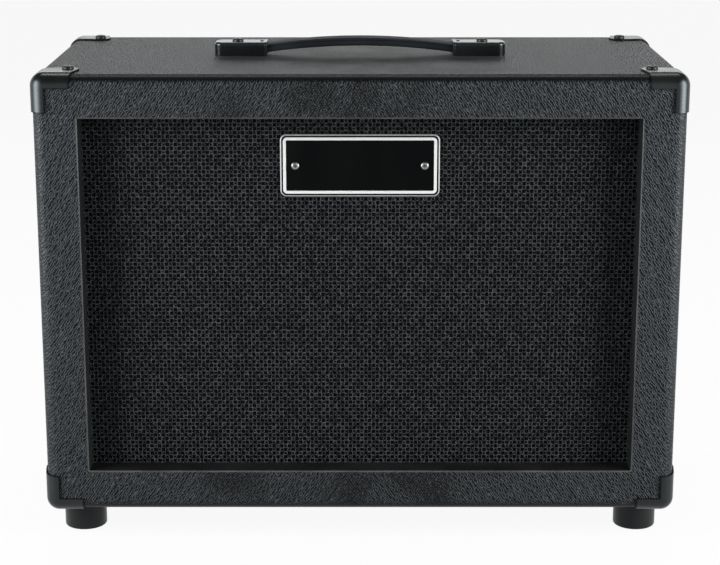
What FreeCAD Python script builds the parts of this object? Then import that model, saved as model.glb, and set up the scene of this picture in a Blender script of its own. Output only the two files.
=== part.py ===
import FreeCAD, Part
import Sketcher
import math
import os
import re

# Guitar speaker cabinet: a covered plywood box with one twelve-inch driver behind a cloth-faced baffle.
# Millimetres, +Z up, the front faces -Y. The origin lies on the floor under the middle of the box.

SIZES = {
    # Box, measured over its vinyl covering
    "width": 550,
    "height": 385,
    "depth": 269,
    "edge_radius": 10,
    "covering": 1,
    "panel": 18,
    # Front frame, baffle and cloth
    "rail_width": 16.8,
    "stile_width": 17.8,
    "rail_depth": 21.5,
    "cloth_thickness": 1.2,
    "baffle_thickness": 18,
    "baffle_gap": 1.5,
    "baffle_screw_inset": 80,
    # Back
    "back_inset": 9,
    "back_thickness": 15,
    "back_gap": 1.5,
    "cleat_size": 20,
    "back_screw_inset": 36,
    # Corner protectors
    "corner_wall": 1.6,
    "corner_leg": 32,
    "corner_band": 11.5,
    "ear_offset": 28,
    "ear_radius": 9.5,
    # Screws and bolts
    "hole_clearance": 0.15,
    "screw_bite": 13,
    "tip_room": 0.5,
    "trim_head": 7,
    "trim_head_height": 2.2,
    "trim_shank": 3,
    "screw_head": 10,
    "screw_head_height": 2.6,
    "screw_shank": 4,
    "bolt_head": 10,
    "bolt_head_height": 2.4,
    "bolt_shank": 5,
    "bolt_spare": 2,
    "nut_flats": 8,
    "nut_height": 5,
    "nut_flange": 11.8,
    "nut_flange_height": 1.4,
    # Badge
    "badge_width": 136,
    "badge_height": 53.5,
    "badge_thickness": 2,
    "badge_corner": 4.5,
    "badge_drop": 43.5,
    "badge_screw_inset": 12.75,
    "border_inset": 2.5,
    "border_width": 3,
    "border_corner": 3.25,
    "border_height": 0.4,
    # Strap handle
    "handle_length": 260,
    "cap_length": 46.5,
    "cap_width": 24,
    "cap_height": 12,
    "cap_end_radius": 7,
    "cap_top_radius": 2.5,
    "cap_wall": 3,
    "cap_screw_inset": 20.5,
    "boss_radius": 4.2,
    "strap_width": 20,
    "strap_thickness": 7.2,
    "strap_round": 2.2,
    "strap_lift": 2.8,
    "strap_rise": 6,
    "strap_gap": 0.4,
    "mouth_gap": 0.5,
    "band_width": 13,
    "band_thickness": 1,
    "band_gap": 0.3,
    "band_slip": 4.5,
    # Feet
    "foot_diameter": 37.2,
    "foot_height": 28,
    "foot_side_inset": 27.3,
    "foot_end_inset": 43,
    "foot_web": 9,
    "foot_recess": 16,
    "foot_round": 1.8,
    # Input jack, on a plate over a cut-out in the back
    "jack_rise": 100,
    "plate_width": 86,
    "plate_height": 62,
    "plate_thickness": 1.5,
    "plate_corner": 5,
    "plate_edge": 6.5,
    "hatch_width": 62,
    "hatch_height": 38,
    "jack_bore": 6.5,
    "bushing_diameter": 9.4,
    "bushing_reach": 6.5,
    "jack_flange": 19,
    "jack_sheet": 1.5,
    "arm_offset": 8,
    "arm_length": 24,
    "arm_width": 10,
    "wafer": 1,
    "leaf": 0.5,
    "leaf_width": 5,
    "stack_start": 7,
    "stack_length": 10,
    "leaf_bend": 7.8,
    "leaf_reach": 13,
    "leaf_hook": 3.9,
    "leaf_dip": 3.6,
    "lug_drop": 9,
    "lug_width": 4,
    "jack_washer": 14,
    "washer_thickness": 0.8,
    "jack_nut_flats": 12.7,
    "jack_nut_height": 2.5,
    # Driver, with depths measured back from the rear of the baffle
    "driver_radius": 154.5,
    "flange_lap": 13,
    "bolt_inset": 6,
    "gasket": 3,
    "gasket_width": 11.5,
    "basket_wall": 1.8,
    "flange_width": 18.5,
    "rim_depth": 14,
    "shelf_depth": 68,
    "shelf_radius": 74,
    "shelf_inner": 56,
    "seat_depth": 80,
    "seat_hole": 28,
    "window_foot": 6,
    "window_head": 7,
    "window_inner_width": 42,
    "window_outer_width": 92,
    "cone_radius": 122,
    "cone_rim_depth": 9,
    "cone_neck_depth": 58,
    "cone_wall": 0.9,
    "soft_gap": 0.3,
    "surround_wall": 0.8,
    "surround_wave": 4,
    "surround_rim": 9,
    "surround_lip": 2,
    "spider_radius": 70,
    "spider_wall": 0.6,
    "spider_wave": 5,
    "spider_rim": 6,
    "spider_lip": 4,
    "coil_radius": 22.5,
    "former_wall": 0.5,
    "former_length": 38,
    "winding_wall": 0.9,
    "winding_length": 14,
    "coil_gap": 0.8,
    "cap_radius": 42,
    "dome_height": 16,
    "dome_wall": 0.6,
    "top_plate_radius": 62,
    "top_plate_thickness": 6,
    "magnet_radius": 78,
    "magnet_hole": 40,
    "magnet_thickness": 20,
    "yoke_radius": 72,
    "yoke_thickness": 8,
    "vent_radius": 6,
    # Driver terminals and wiring
    "strip_width": 31,
    "strip_thickness": 2,
    "strip_inner": 58.5,
    "strip_outer": 73,
    "tab_spread": 14,
    "tab_width": 6.3,
    "tab_thickness": 0.8,
    "tab_reach": 86,
    "ear_tab": 3,
    "sleeve_width": 8,
    "sleeve_thickness": 4,
    "sleeve_inner": 76,
    "sleeve_outer": 102,
    "wire_diameter": 2.6,
    "tinsel_diameter": 1.6,
}

# Counts
FINGERS = 9
WINDOWS = 6
SURROUND_ROLLS = 2
SPIDER_ROLLS = 5
# Share of the shorter run that a wire's bend takes up on each side of its corner
ARC_SHARE = 0.45
# Screw heads: the share of the head's height that is rounded and that lies under the cross,
# and the cross's half length and half width as shares of the head's radius
HEAD_ROUND = 0.72
CROSS_FLOOR = 0.45
CROSS_LENGTH = 0.5
CROSS_WIDTH = 0.11
# Length of a bent bar before it is trimmed, as a share of the handle's arch
ARCH_SPARE = 1.2
# Thickness of the tip spring across its fold, in leaf thicknesses
FOLD = 1.4

doc = FreeCAD.newDocument("speaker_cabinet")
sheet = doc.addObject("Spreadsheet::Sheet", "dims")
for row, (alias, size) in enumerate(SIZES.items(), start=1):
    sheet.set(f"A{row}", str(size))
    sheet.setAlias(f"A{row}", alias)
doc.recompute()
nodes = []

# Places that many pieces share, as expressions of the sizes
TOP = "(foot_height + height)"
WOOD_X = "(width / 2 - covering)"
WOOD_Y = "(depth / 2 - covering)"
WOOD_LOW = "(foot_height + covering)"
WOOD_TOP = f"({TOP} - covering)"
INNER_X = "(width / 2 - covering - panel)"
INNER_LOW = "(foot_height + covering + panel)"
INNER_TOP = f"({TOP} - covering - panel)"
OPEN_X = f"({INNER_X} - stile_width - covering)"
OPEN_LOW = f"({INNER_LOW} + rail_width + covering)"
OPEN_TOP = f"({INNER_TOP} - rail_width - covering)"
RAIL_BACK = f"(rail_depth - {WOOD_Y})"
BAFFLE_FRONT = f"({RAIL_BACK} + cloth_thickness)"
BAFFLE_BACK = f"({BAFFLE_FRONT} + baffle_thickness)"
BACK_REAR = "(depth / 2 - back_inset)"
BACK_WOOD = f"({BACK_REAR} - covering)"
BACK_FRONT = f"({BACK_WOOD} - back_thickness)"
CENTRE = "(foot_height + height / 2)"
PITCH = f"(2 * {WOOD_Y} / {FINGERS})"
# How far a cut runs past the face that it opens
PAST = "1"


def bound(text):
    """The expression with the name of each size pointed at its cell."""
    return re.sub(r"[a-z_]+", lambda m: f"dims.{m.group()}" if m.group() in SIZES else m.group(), text)


def number(text):
    return float(sheet.evalExpression(bound(text)))


def bind(item, prop, text):
    item.setExpression(prop, bound(text))


def place(item, x, y, z):
    for axis, text in zip("xyz", (x, y, z)):
        bind(item, f"Placement.Base.{axis}", text)
    return item


def node(name, item):
    """Names a finished piece, which is written to a file of that name."""
    item.Label = name
    nodes.append(item)
    return item


def mirrored(side, near, far):
    """Low and high ends of a stretch from near to far, on the positive or the negative side of zero."""
    if side > 0:
        return near, far
    return f"-({far})", f"-({near})"


def both_ways(half):
    return f"-({half})", half


def size_box(item, x, y, z):
    for prop, (low, high) in zip(("Length", "Width", "Height"), (x, y, z)):
        bind(item, prop, f"({high}) - ({low})")
    return place(item, x[0], y[0], z[0])


def block(name, x, y, z):
    return size_box(doc.addObject("Part::Box", name), x, y, z)


ALONG = {
    "x": FreeCAD.Rotation(FreeCAD.Vector(0, 1, 0), 90),
    "y": FreeCAD.Rotation(FreeCAD.Vector(1, 0, 0), -90),
    "z": FreeCAD.Rotation(),
}


def size_rod(item, axis, radius, start, length):
    bind(item, "Radius", radius)
    bind(item, "Height", length)
    item.Placement = FreeCAD.Placement(FreeCAD.Vector(), ALONG[axis])
    return place(item, *start)


def rod(name, axis, radius, start, length):
    """A round bar that runs from start towards the positive end of its axis."""
    return size_rod(doc.addObject("Part::Cylinder", name), axis, radius, start, length)


def fuse(name, *items):
    item = doc.addObject("Part::MultiFuse", name)
    item.Shapes = list(items)
    return item


def group(name, items):
    item = doc.addObject("Part::Compound", name)
    item.Links = list(items)
    return item


def cut(name, base, tool):
    item = doc.addObject("Part::Cut", name)
    item.Base = base
    item.Tool = tool
    return item


def common(name, base, tool):
    item = doc.addObject("Part::Common", name)
    item.Base = base
    item.Tool = tool
    return item


def new_body(name):
    return doc.addObject("PartDesign::Body", name)


def origin(body, role):
    return next(item for item in body.Origin.OriginFeatures if item.Role == role)


def outline(body, role, points):
    """A closed outline on one of the body's origin planes, with each corner bound to the sheet."""
    drawing = body.newObject("Sketcher::SketchObject", "outline")
    drawing.AttachmentSupport = (origin(body, role), [""])
    drawing.MapMode = "FlatFace"
    spots = [FreeCAD.Vector(number(u), number(v), 0) for u, v in points]
    count = len(points)
    for k in range(count):
        drawing.addGeometry(Part.LineSegment(spots[k], spots[(k + 1) % count]))
    for k in range(count):
        drawing.addConstraint(Sketcher.Constraint("Coincident", k, 2, (k + 1) % count, 1))
        places = (("DistanceX", points[k][0], spots[k].x), ("DistanceY", points[k][1], spots[k].y))
        for kind, text, spot in places:
            index = drawing.addConstraint(Sketcher.Constraint(kind, -1, 1, k, 1, spot))
            drawing.setExpression(f"Constraints[{index}]", bound(text))
    return drawing


def turned(name, along, points):
    """A body of revolution about Y or Z. Each point is a radius and a place along the axis."""
    body = new_body(name)
    profile = outline(body, {"y": "XY_Plane", "z": "XZ_Plane"}[along], points)
    turn = body.newObject("PartDesign::Revolution", "turn")
    turn.Profile = profile
    turn.ReferenceAxis = (profile, ["V_Axis"])
    turn.Angle = 360
    return body


def padded(name, role, points, length):
    """A body with a straight-sided outline, padded along its plane's normal."""
    body = new_body(name)
    pad = body.newObject("PartDesign::Pad", "pad")
    pad.Profile = outline(body, role, points)
    bind(pad, "Length", length)
    return body


def round_edges(body, wanted, radius):
    """Rounds the edges of the body's last feature that the test accepts."""
    doc.recompute()
    base = body.Tip
    names = [f"Edge{k}" for k, edge in enumerate(base.Shape.Edges, start=1) if wanted(edge)]
    fillet = body.newObject("PartDesign::Fillet", "rounding")
    fillet.Base = (base, names)
    bind(fillet, "Radius", radius)
    body.Tip = fillet
    return body


def boxed(name, x, y, z):
    """A body that starts as a plain box."""
    body = new_body(name)
    size_box(body.newObject("PartDesign::AdditiveBox", "blank"), x, y, z)
    return body


def sunk_box(body, x, y, z):
    return size_box(body.newObject("PartDesign::SubtractiveBox", "notch"), x, y, z)


def sunk_rod(body, axis, radius, start, length):
    return size_rod(body.newObject("PartDesign::SubtractiveCylinder", "bore"), axis, radius, start, length)


def repeat_along_y(body, feature, length, count):
    row = body.newObject("PartDesign::LinearPattern", "row")
    row.Originals = [feature]
    row.Direction = (origin(body, "Y_Axis"), [""])
    bind(row, "Length", length)
    row.Occurrences = count
    body.Tip = row


def repeat_about_y(body, feature, count):
    ring = body.newObject("PartDesign::PolarPattern", "ring")
    ring.Originals = [feature]
    ring.Axis = (origin(body, "Y_Axis"), [""])
    ring.Angle = 360
    ring.Occurrences = count
    body.Tip = ring


def runs_along(axis):
    """A test for straight edges that are parallel to one axis."""
    def test(edge):
        ends = [vertex.Point for vertex in edge.Vertexes]
        if len(ends) != 2:
            return False
        step = ends[1] - ends[0]
        return abs(getattr(step, axis)) > 0.999 * step.Length
    return test


def any_edge(edge):
    return True


# Fasteners

FACING = {
    "+x": FreeCAD.Rotation(FreeCAD.Vector(0, 1, 0), 90),
    "-x": FreeCAD.Rotation(FreeCAD.Vector(0, 1, 0), -90),
    "+y": FreeCAD.Rotation(FreeCAD.Vector(1, 0, 0), -90),
    "-y": FreeCAD.Rotation(FreeCAD.Vector(1, 0, 0), 90),
    "+z": FreeCAD.Rotation(),
    "-z": FreeCAD.Rotation(FreeCAD.Vector(1, 0, 0), 180),
}


def pan_screw(name, kind, length):
    """A cross-head screw that stands up: its head rests on zero height and its shank points down."""
    head = f"{kind}_head / 2"
    rise = f"{kind}_head_height"
    shank = f"{kind}_shank / 2"
    body = turned(name, "z", [
        ("0", f"-({length})"),
        (shank, f"{shank} - ({length})"),
        (shank, "0"),
        (head, "0"),
        (head, rise),
        ("0", rise),
    ])
    doc.recompute()
    rim = number(head)
    level = number(rise)

    def head_rim(edge):
        box = edge.BoundBox
        return abs(box.ZMin - level) < 1e-3 and abs(box.XMax - rim) < 1e-3

    round_edges(body, head_rim, f"{HEAD_ROUND} * {rise}")
    arm = f"{CROSS_LENGTH} * {head}"
    slot = f"{CROSS_WIDTH} * {head}"
    for x, y in ((arm, slot), (slot, arm)):
        sunk_box(body, both_ways(x), both_ways(y), (f"{CROSS_FLOOR} * {rise}", f"{rise} + {PAST}"))
    return body


def copies(name, master, facing, spots):
    """One link to the master at each spot."""
    made = []
    for spot in spots:
        link = doc.addObject("App::Link", name)
        link.LinkedObject = master
        link.Placement = FreeCAD.Placement(FreeCAD.Vector(), FACING[facing])
        made.append(place(link, *spot))
    return made


def drilled(name, axis, radius, spots, length):
    return [rod(name, axis, radius, spot, length) for spot in spots]


SCREW_HOLE = "screw_shank / 2 + hole_clearance"
BOLT_HOLE = "bolt_shank / 2 + hole_clearance"
TRIM_HOLE = "trim_shank / 2 + hole_clearance"


def hexagon(name, axis, flats, start, height):
    """A six-sided bar that runs from start towards the positive end of its axis."""
    item = doc.addObject("Part::Prism", name)
    item.Polygon = 6
    bind(item, "Circumradius", f"{flats} / sqrt(3)")
    bind(item, "Height", height)
    item.Placement = FreeCAD.Placement(FreeCAD.Vector(), ALONG[axis])
    return place(item, *start)


nut_start = ("0", "0", "0")
flange_nut = cut(
    "flange_nut",
    fuse("flange_nut_blank",
         rod("nut_flange_disc", "z", "nut_flange / 2", nut_start, "nut_flange_height"),
         hexagon("nut_hexagon", "z", "nut_flats", nut_start, "nut_height")),
    rod("nut_bore", "z", BOLT_HOLE, ("0", "0", f"-{PAST}"), f"nut_height + 2 * {PAST}"),
)


# Box: outer form over the covering, and the wooden form inside it

def rounded_form(name, grow, radius):
    """The box's outer form, grown or shrunk by one amount on every side."""
    body = boxed(
        name,
        both_ways(f"(width / 2 + ({grow}))"),
        both_ways(f"(depth / 2 + ({grow}))"),
        (f"foot_height - ({grow})", f"{TOP} + ({grow})"),
    )
    return round_edges(body, any_edge, radius)


outer_form = rounded_form("outer_form", "0", "edge_radius")
wood_form = rounded_form("wood_form", "-covering", "edge_radius - covering")
corner_form = rounded_form("corner_form", "corner_wall", "edge_radius + corner_wall")

SIDES = {"left": -1, "right": 1}
ENDS = {"front": -1, "rear": 1}
CAP_SCREW_X = "(handle_length / 2 - cap_screw_inset)"
FOOT_X = "(width / 2 - foot_side_inset)"
FOOT_Y = "(depth / 2 - foot_end_inset)"
EAR_X = "(width / 2 - ear_offset)"
EAR_Y = "(depth / 2 - ear_offset)"
EAR_LOW = "(foot_height + ear_offset)"
PILOT = "(covering + screw_bite + tip_room)"

QUARTERS = [(x, y) for x in (-1, 1) for y in (-1, 1)]
shell_holes = group("shell_holes", [
    *drilled("handle_hole", "z", BOLT_HOLE,
             [(f"{x} * {CAP_SCREW_X}", "0", f"{INNER_TOP} - {PAST}") for x in (-1, 1)],
             f"covering + panel + 2 * {PAST}"),
    *drilled("top_ear_hole", "z", SCREW_HOLE,
             [(f"{x} * {EAR_X}", f"{y} * {EAR_Y}", f"{TOP} - {PILOT}") for x, y in QUARTERS],
             f"{PILOT} + corner_wall + {PAST}"),
    *drilled("left_ear_hole", "x", SCREW_HOLE,
             [(f"-(width / 2 + corner_wall + {PAST})", f"{y} * {EAR_Y}", EAR_LOW) for y in (-1, 1)],
             f"{PILOT} + corner_wall + {PAST}"),
    *drilled("right_ear_hole", "x", SCREW_HOLE,
             [(f"width / 2 - {PILOT}", f"{y} * {EAR_Y}", EAR_LOW) for y in (-1, 1)],
             f"{PILOT} + corner_wall + {PAST}"),
    *drilled("foot_hole", "z", BOLT_HOLE,
             [(f"{x} * {FOOT_X}", f"{y} * {FOOT_Y}", f"foot_height - {PAST}") for x, y in QUARTERS],
             f"{PILOT} + {PAST}"),
])


# Plywood panels with finger joints at the four long corners

def finger_row(body, x, z, first, count):
    """Cuts every second finger's place along one end of a panel."""
    low = f"({first} * {PITCH} - {WOOD_Y})"
    notch = sunk_box(body, x, (low, f"{low} + {PITCH}"), z)
    repeat_along_y(body, notch, f"{2 * (count - 1)} * {PITCH}", count)


def wide_panel(name, low, high):
    body = boxed(f"{name}_blank", both_ways(WOOD_X), both_ways(WOOD_Y), (low, high))
    for side in SIDES.values():
        finger_row(body, mirrored(side, INNER_X, WOOD_X), (low, high), 1, FINGERS // 2)
    return node(name, cut(f"{name}_drilled", common(f"{name}_rounded", body, wood_form), shell_holes))


def side_panel(name, side):
    x = mirrored(side, INNER_X, WOOD_X)
    body = boxed(f"{name}_blank", x, both_ways(WOOD_Y), (WOOD_LOW, WOOD_TOP))
    for z in ((WOOD_LOW, INNER_LOW), (INNER_TOP, WOOD_TOP)):
        finger_row(body, x, z, 0, FINGERS // 2 + 1)
    return node(name, cut(f"{name}_drilled", common(f"{name}_rounded", body, wood_form), shell_holes))


wide_panel("top_panel", INNER_TOP, WOOD_TOP)
wide_panel("bottom_panel", WOOD_LOW, INNER_LOW)
for side_name, side in SIDES.items():
    side_panel(f"{side_name}_side_panel", side)


# Vinyl covering: one skin round the outside, over the front frame and its reveals, and round the rear edges

skin = cut("skin", outer_form, wood_form)
front_y = (f"-depth / 2 - {PAST}", RAIL_BACK)
front_mouth = block("front_mouth", both_ways(OPEN_X), front_y, (OPEN_LOW, OPEN_TOP))
rear_x = both_ways(f"({INNER_X} - covering)")
rear_z = (f"{INNER_LOW} + covering", f"{INNER_TOP} - covering")
rear_mouth = block("rear_mouth", rear_x, (BACK_REAR, f"depth / 2 + {PAST}"), rear_z)
front_liner = block(
    "front_liner",
    both_ways(f"({OPEN_X} + covering)"),
    ("-depth / 2", RAIL_BACK),
    (f"{OPEN_LOW} - covering", f"{OPEN_TOP} + covering"),
)
rear_liner = block("rear_liner", both_ways(INNER_X), (BACK_REAR, "depth / 2"), (INNER_LOW, INNER_TOP))
mouths = group("mouths", [front_mouth, rear_mouth])
lined_skin = cut("lined_skin", fuse("skin_and_liners", skin, front_liner, rear_liner), mouths)
node("shell_covering", cut("covering_drilled", lined_skin, shell_holes))


# Front rails and stiles, rear cleats

FRAME_Y = (f"-{WOOD_Y}", RAIL_BACK)
RAIL_MID_LOW = f"({INNER_LOW} + rail_width / 2)"
RAIL_MID_TOP = f"({INNER_TOP} - rail_width / 2)"
STILE_MID = f"({INNER_X} - stile_width / 2)"
BAFFLE_SCREW_X = f"({INNER_X} - baffle_screw_inset)"
baffle_screw_spots = [
    *[(x, z) for z in (RAIL_MID_LOW, RAIL_MID_TOP) for x in (f"-{BAFFLE_SCREW_X}", "0", BAFFLE_SCREW_X)],
    *[(f"{side} * {STILE_MID}", CENTRE) for side in (-1, 1)],
]
BAFFLE_SCREW = "(baffle_thickness + cloth_thickness + screw_bite)"
baffle_holes = group("baffle_holes", drilled(
    "baffle_hole", "y", SCREW_HOLE,
    [(x, f"{BAFFLE_BACK} - {BAFFLE_SCREW} - tip_room", z) for x, z in baffle_screw_spots],
    f"{BAFFLE_SCREW} + tip_room + {PAST}",
))
rails = group("rail_blanks", [
    block("rail_blank", both_ways(INNER_X), FRAME_Y, z)
    for z in ((INNER_LOW, f"{INNER_LOW} + rail_width"), (f"{INNER_TOP} - rail_width", INNER_TOP))
])
stiles = group("stile_blanks", [
    block("stile_blank", mirrored(side, f"({INNER_X} - stile_width)", INNER_X), FRAME_Y,
          (f"{INNER_LOW} + rail_width", f"{INNER_TOP} - rail_width"))
    for side in SIDES.values()
])
node("front_rails", cut("rails_drilled", rails, baffle_holes))
node("front_stiles", cut("stiles_drilled", stiles, baffle_holes))

CLEAT_Y = (f"{BACK_FRONT} - cleat_size", BACK_FRONT)
CLEAT_MID_LOW = f"({INNER_LOW} + cleat_size / 2)"
CLEAT_MID_TOP = f"({INNER_TOP} - cleat_size / 2)"
CLEAT_MID_X = f"({INNER_X} - cleat_size / 2)"
BACK_SCREW_X = f"({INNER_X} - back_screw_inset)"
back_screw_spots = [
    *[(x, z) for z in (CLEAT_MID_LOW, CLEAT_MID_TOP) for x in (f"-{BACK_SCREW_X}", "0", BACK_SCREW_X)],
    *[(f"{side} * {CLEAT_MID_X}", CENTRE) for side in (-1, 1)],
]
BACK_SCREW = "(covering + back_thickness + screw_bite)"
back_holes = group("back_holes", drilled(
    "back_hole", "y", SCREW_HOLE,
    [(x, f"{BACK_REAR} - {BACK_SCREW} - tip_room", z) for x, z in back_screw_spots],
    f"{BACK_SCREW} + tip_room + {PAST}",
))
cleats = group("cleat_blanks", [
    *[block("long_cleat", both_ways(INNER_X), CLEAT_Y, z)
      for z in ((INNER_LOW, f"{INNER_LOW} + cleat_size"), (f"{INNER_TOP} - cleat_size", INNER_TOP))],
    *[block("short_cleat", mirrored(side, f"({INNER_X} - cleat_size)", INNER_X), CLEAT_Y,
            (f"{INNER_LOW} + cleat_size", f"{INNER_TOP} - cleat_size"))
      for side in SIDES.values()],
])
node("rear_cleats", cut("cleats_drilled", cleats, back_holes))


# Badge: a bare plate with a raised border, on two screws

BADGE_Z = f"({OPEN_TOP} - badge_drop)"
BADGE_FRONT = f"({RAIL_BACK} - badge_thickness)"
badge_spots = [(f"{side} * (badge_width / 2 - badge_screw_inset)", BADGE_Z) for side in (-1, 1)]
BADGE_SCREW = "(badge_thickness + cloth_thickness + screw_bite)"
badge_holes = group("badge_holes", drilled(
    "badge_hole", "y", TRIM_HOLE,
    [(x, f"{BADGE_FRONT} - border_height - {PAST}", z) for x, z in badge_spots],
    f"border_height + {PAST} + {BADGE_SCREW} + tip_room",
))


def badge_plate(name, inset, corner_radius, y):
    half_x = f"(badge_width / 2 - ({inset}))"
    half_z = f"(badge_height / 2 - ({inset}))"
    body = boxed(name, both_ways(half_x), y, (f"{BADGE_Z} - {half_z}", f"{BADGE_Z} + {half_z}"))
    return round_edges(body, runs_along("y"), corner_radius)


border_y = (f"{BADGE_FRONT} - border_height", BADGE_FRONT)
border = cut(
    "border",
    badge_plate("border_outside", "border_inset", "border_corner", border_y),
    badge_plate("border_inside", "border_inset + border_width", "border_corner - border_width / 2", border_y),
)
plate = badge_plate("badge_blank", "0", "badge_corner", (BADGE_FRONT, RAIL_BACK))
node("badge_plate", cut("badge_drilled", plate, badge_holes))
node("badge_border", border)
badge_screw = pan_screw("badge_screw", "trim", BADGE_SCREW)
node("badge_screws", group("badge_screw_pair", copies(
    "badge_screw_copy", badge_screw, "-y", [(x, BADGE_FRONT, z) for x, z in badge_spots])))


# Baffle board, wrapped at its front and edges by the grille cloth

BOARD_X = f"({INNER_X} - baffle_gap - cloth_thickness)"
BOARD_LOW = f"({INNER_LOW} + baffle_gap + cloth_thickness)"
BOARD_TOP = f"({INNER_TOP} - baffle_gap - cloth_thickness)"
BOLT_SPOT = "((driver_radius - bolt_inset) / sqrt(2))"
driver_spots = [(f"{x} * {BOLT_SPOT}", f"{CENTRE} + {z} * {BOLT_SPOT}") for x in (-1, 1) for z in (-1, 1)]
BOLT_SEAT = f"({BAFFLE_FRONT} + bolt_head_height + tip_room)"
BOLT_END = f"({BAFFLE_BACK} + gasket + basket_wall + nut_height + bolt_spare)"
driver_holes = group("driver_holes", [
    rod("driver_cutout", "y", "driver_radius - flange_lap", ("0", f"{BAFFLE_FRONT} - {PAST}", CENTRE),
        f"baffle_thickness + 2 * {PAST}"),
    *drilled("bolt_way", "y", BOLT_HOLE, [(x, f"{BAFFLE_FRONT} - {PAST}", z) for x, z in driver_spots],
             f"baffle_thickness + 2 * {PAST}"),
])
bolt_pockets = group("bolt_pockets", drilled(
    "bolt_pocket", "y", "bolt_head / 2 + hole_clearance",
    [(x, f"{BAFFLE_FRONT} - {PAST}", z) for x, z in driver_spots],
    f"{BOLT_SEAT} - {BAFFLE_FRONT} + {PAST}",
))
board = block("board", both_ways(BOARD_X), (BAFFLE_FRONT, BAFFLE_BACK), (BOARD_LOW, BOARD_TOP))
for holes in (driver_holes, bolt_pockets, baffle_holes, badge_holes):
    board = cut("board_drilled", board, holes)
node("baffle_board", board)

wrap = block(
    "cloth_wrap",
    both_ways(f"({BOARD_X} + cloth_thickness)"),
    (RAIL_BACK, BAFFLE_BACK),
    (f"{BOARD_LOW} - cloth_thickness", f"{BOARD_TOP} + cloth_thickness"),
)
hollow_y = (BAFFLE_FRONT, f"{BAFFLE_BACK} + {PAST}")
cloth = cut("cloth_tray", wrap, block("cloth_hollow", both_ways(BOARD_X), hollow_y, (BOARD_LOW, BOARD_TOP)))
for holes in (baffle_holes, badge_holes):
    cloth = cut("cloth_drilled", cloth, holes)
node("grille_cloth", cloth)

baffle_screw = pan_screw("baffle_screw", "screw", BAFFLE_SCREW)
node("baffle_screws", group("baffle_screw_set", copies(
    "baffle_screw_copy", baffle_screw, "+y", [(x, BAFFLE_BACK, z) for x, z in baffle_screw_spots])))


# Corner protectors: three bands along the edges of each corner, and an ear for a screw on one face

corner_shell = cut("corner_shell", corner_form, outer_form)


def corner(name, signs, ear_axis):
    """One protector. Distances run inwards from the three faces that meet at the corner."""
    def at(axis, inwards):
        if axis == "z":
            return f"({TOP} - ({inwards}))" if signs["z"] > 0 else f"(foot_height + ({inwards}))"
        return f"({signs[axis]} * ({'width' if axis == 'x' else 'depth'} / 2 - ({inwards})))"

    def stretch(axis, start, end):
        ends = at(axis, start), at(axis, end)
        return ends if signs[axis] < 0 else ends[::-1]

    outside = "-corner_wall"
    bands = []
    for long_axis in "xyz":
        reach = {axis: "corner_leg" if axis == long_axis else "corner_band" for axis in "xyz"}
        bands.append(block(f"{name}_band", *[stretch(axis, outside, reach[axis]) for axis in "xyz"]))
    first, second = [axis for axis in "xyz" if axis != ear_axis]
    tip = "ear_offset + ear_radius"
    corners = [(outside, outside), ("corner_leg", outside), (tip, "ear_offset"), ("ear_offset", tip),
               (outside, "corner_leg")]
    points = [(at(first, u), at(second, v)) for u, v in corners]
    low, high = stretch(ear_axis, outside, "corner_band")
    role = {"x": "YZ_Plane", "z": "XY_Plane"}[ear_axis]
    web = padded(f"{name}_web", role, points, f"{high} - {low}")
    start = {first: at(first, "ear_offset"), second: at(second, "ear_offset"), ear_axis: low}
    bind(web, f"Placement.Base.{ear_axis}", low)
    ear = rod(f"{name}_ear", ear_axis, "ear_radius", [start[axis] for axis in "xyz"], f"{high} - {low}")
    star = fuse(f"{name}_star", *bands, web, ear)
    return node(name, cut(f"{name}_drilled", common(f"{name}_shell", corner_shell, star), shell_holes))


for end_name, end in ENDS.items():
    for side_name, side in SIDES.items():
        corner(f"corner_top_{end_name}_{side_name}", {"x": side, "y": end, "z": 1}, "z")
        corner(f"corner_bottom_{end_name}_{side_name}", {"x": side, "y": end, "z": -1}, "x")

corner_screw = pan_screw("corner_screw", "screw", "corner_wall + covering + screw_bite")
ear_face = "(width / 2 + corner_wall)"
node("corner_screws", group("corner_screw_set", [
    *copies("top_ear_screw", corner_screw, "+z",
            [(f"{x} * {EAR_X}", f"{y} * {EAR_Y}", f"{TOP} + corner_wall") for x, y in QUARTERS]),
    *copies("left_ear_screw", corner_screw, "-x",
            [(f"-{ear_face}", f"{y} * {EAR_Y}", EAR_LOW) for y in (-1, 1)]),
    *copies("right_ear_screw", corner_screw, "+x",
            [(ear_face, f"{y} * {EAR_Y}", EAR_LOW) for y in (-1, 1)]),
]))


# Feet: rubber, each with a deep recess for its screw

FOOT_SEAT = "(foot_height - foot_web)"
foot = turned("foot", "z", [
    (BOLT_HOLE, FOOT_SEAT),
    ("foot_recess / 2", FOOT_SEAT),
    ("foot_recess / 2", "0"),
    ("foot_diameter / 2", "0"),
    ("foot_diameter / 2", "foot_height"),
    (BOLT_HOLE, "foot_height"),
])
doc.recompute()
foot_rim = number("foot_diameter / 2")


def foot_edge(edge):
    box = edge.BoundBox
    return box.ZMax < 1e-3 and abs(box.XMax - foot_rim) < 1e-3


round_edges(foot, foot_edge, "foot_round")
foot_spots = [(f"{x} * {FOOT_X}", f"{y} * {FOOT_Y}") for x, y in QUARTERS]
node("rubber_feet", group("foot_set", copies("foot_copy", foot, "+z", [(x, y, "0") for x, y in foot_spots])))
foot_screw = pan_screw("foot_screw", "bolt", "foot_web + covering + screw_bite")
node("foot_screws", group("foot_screw_set", copies(
    "foot_screw_copy", foot_screw, "-z", [(x, y, FOOT_SEAT) for x, y in foot_spots])))


# Strap handle: an arched grip on a spring band, whose slotted ends slide on bosses inside two end caps

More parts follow.
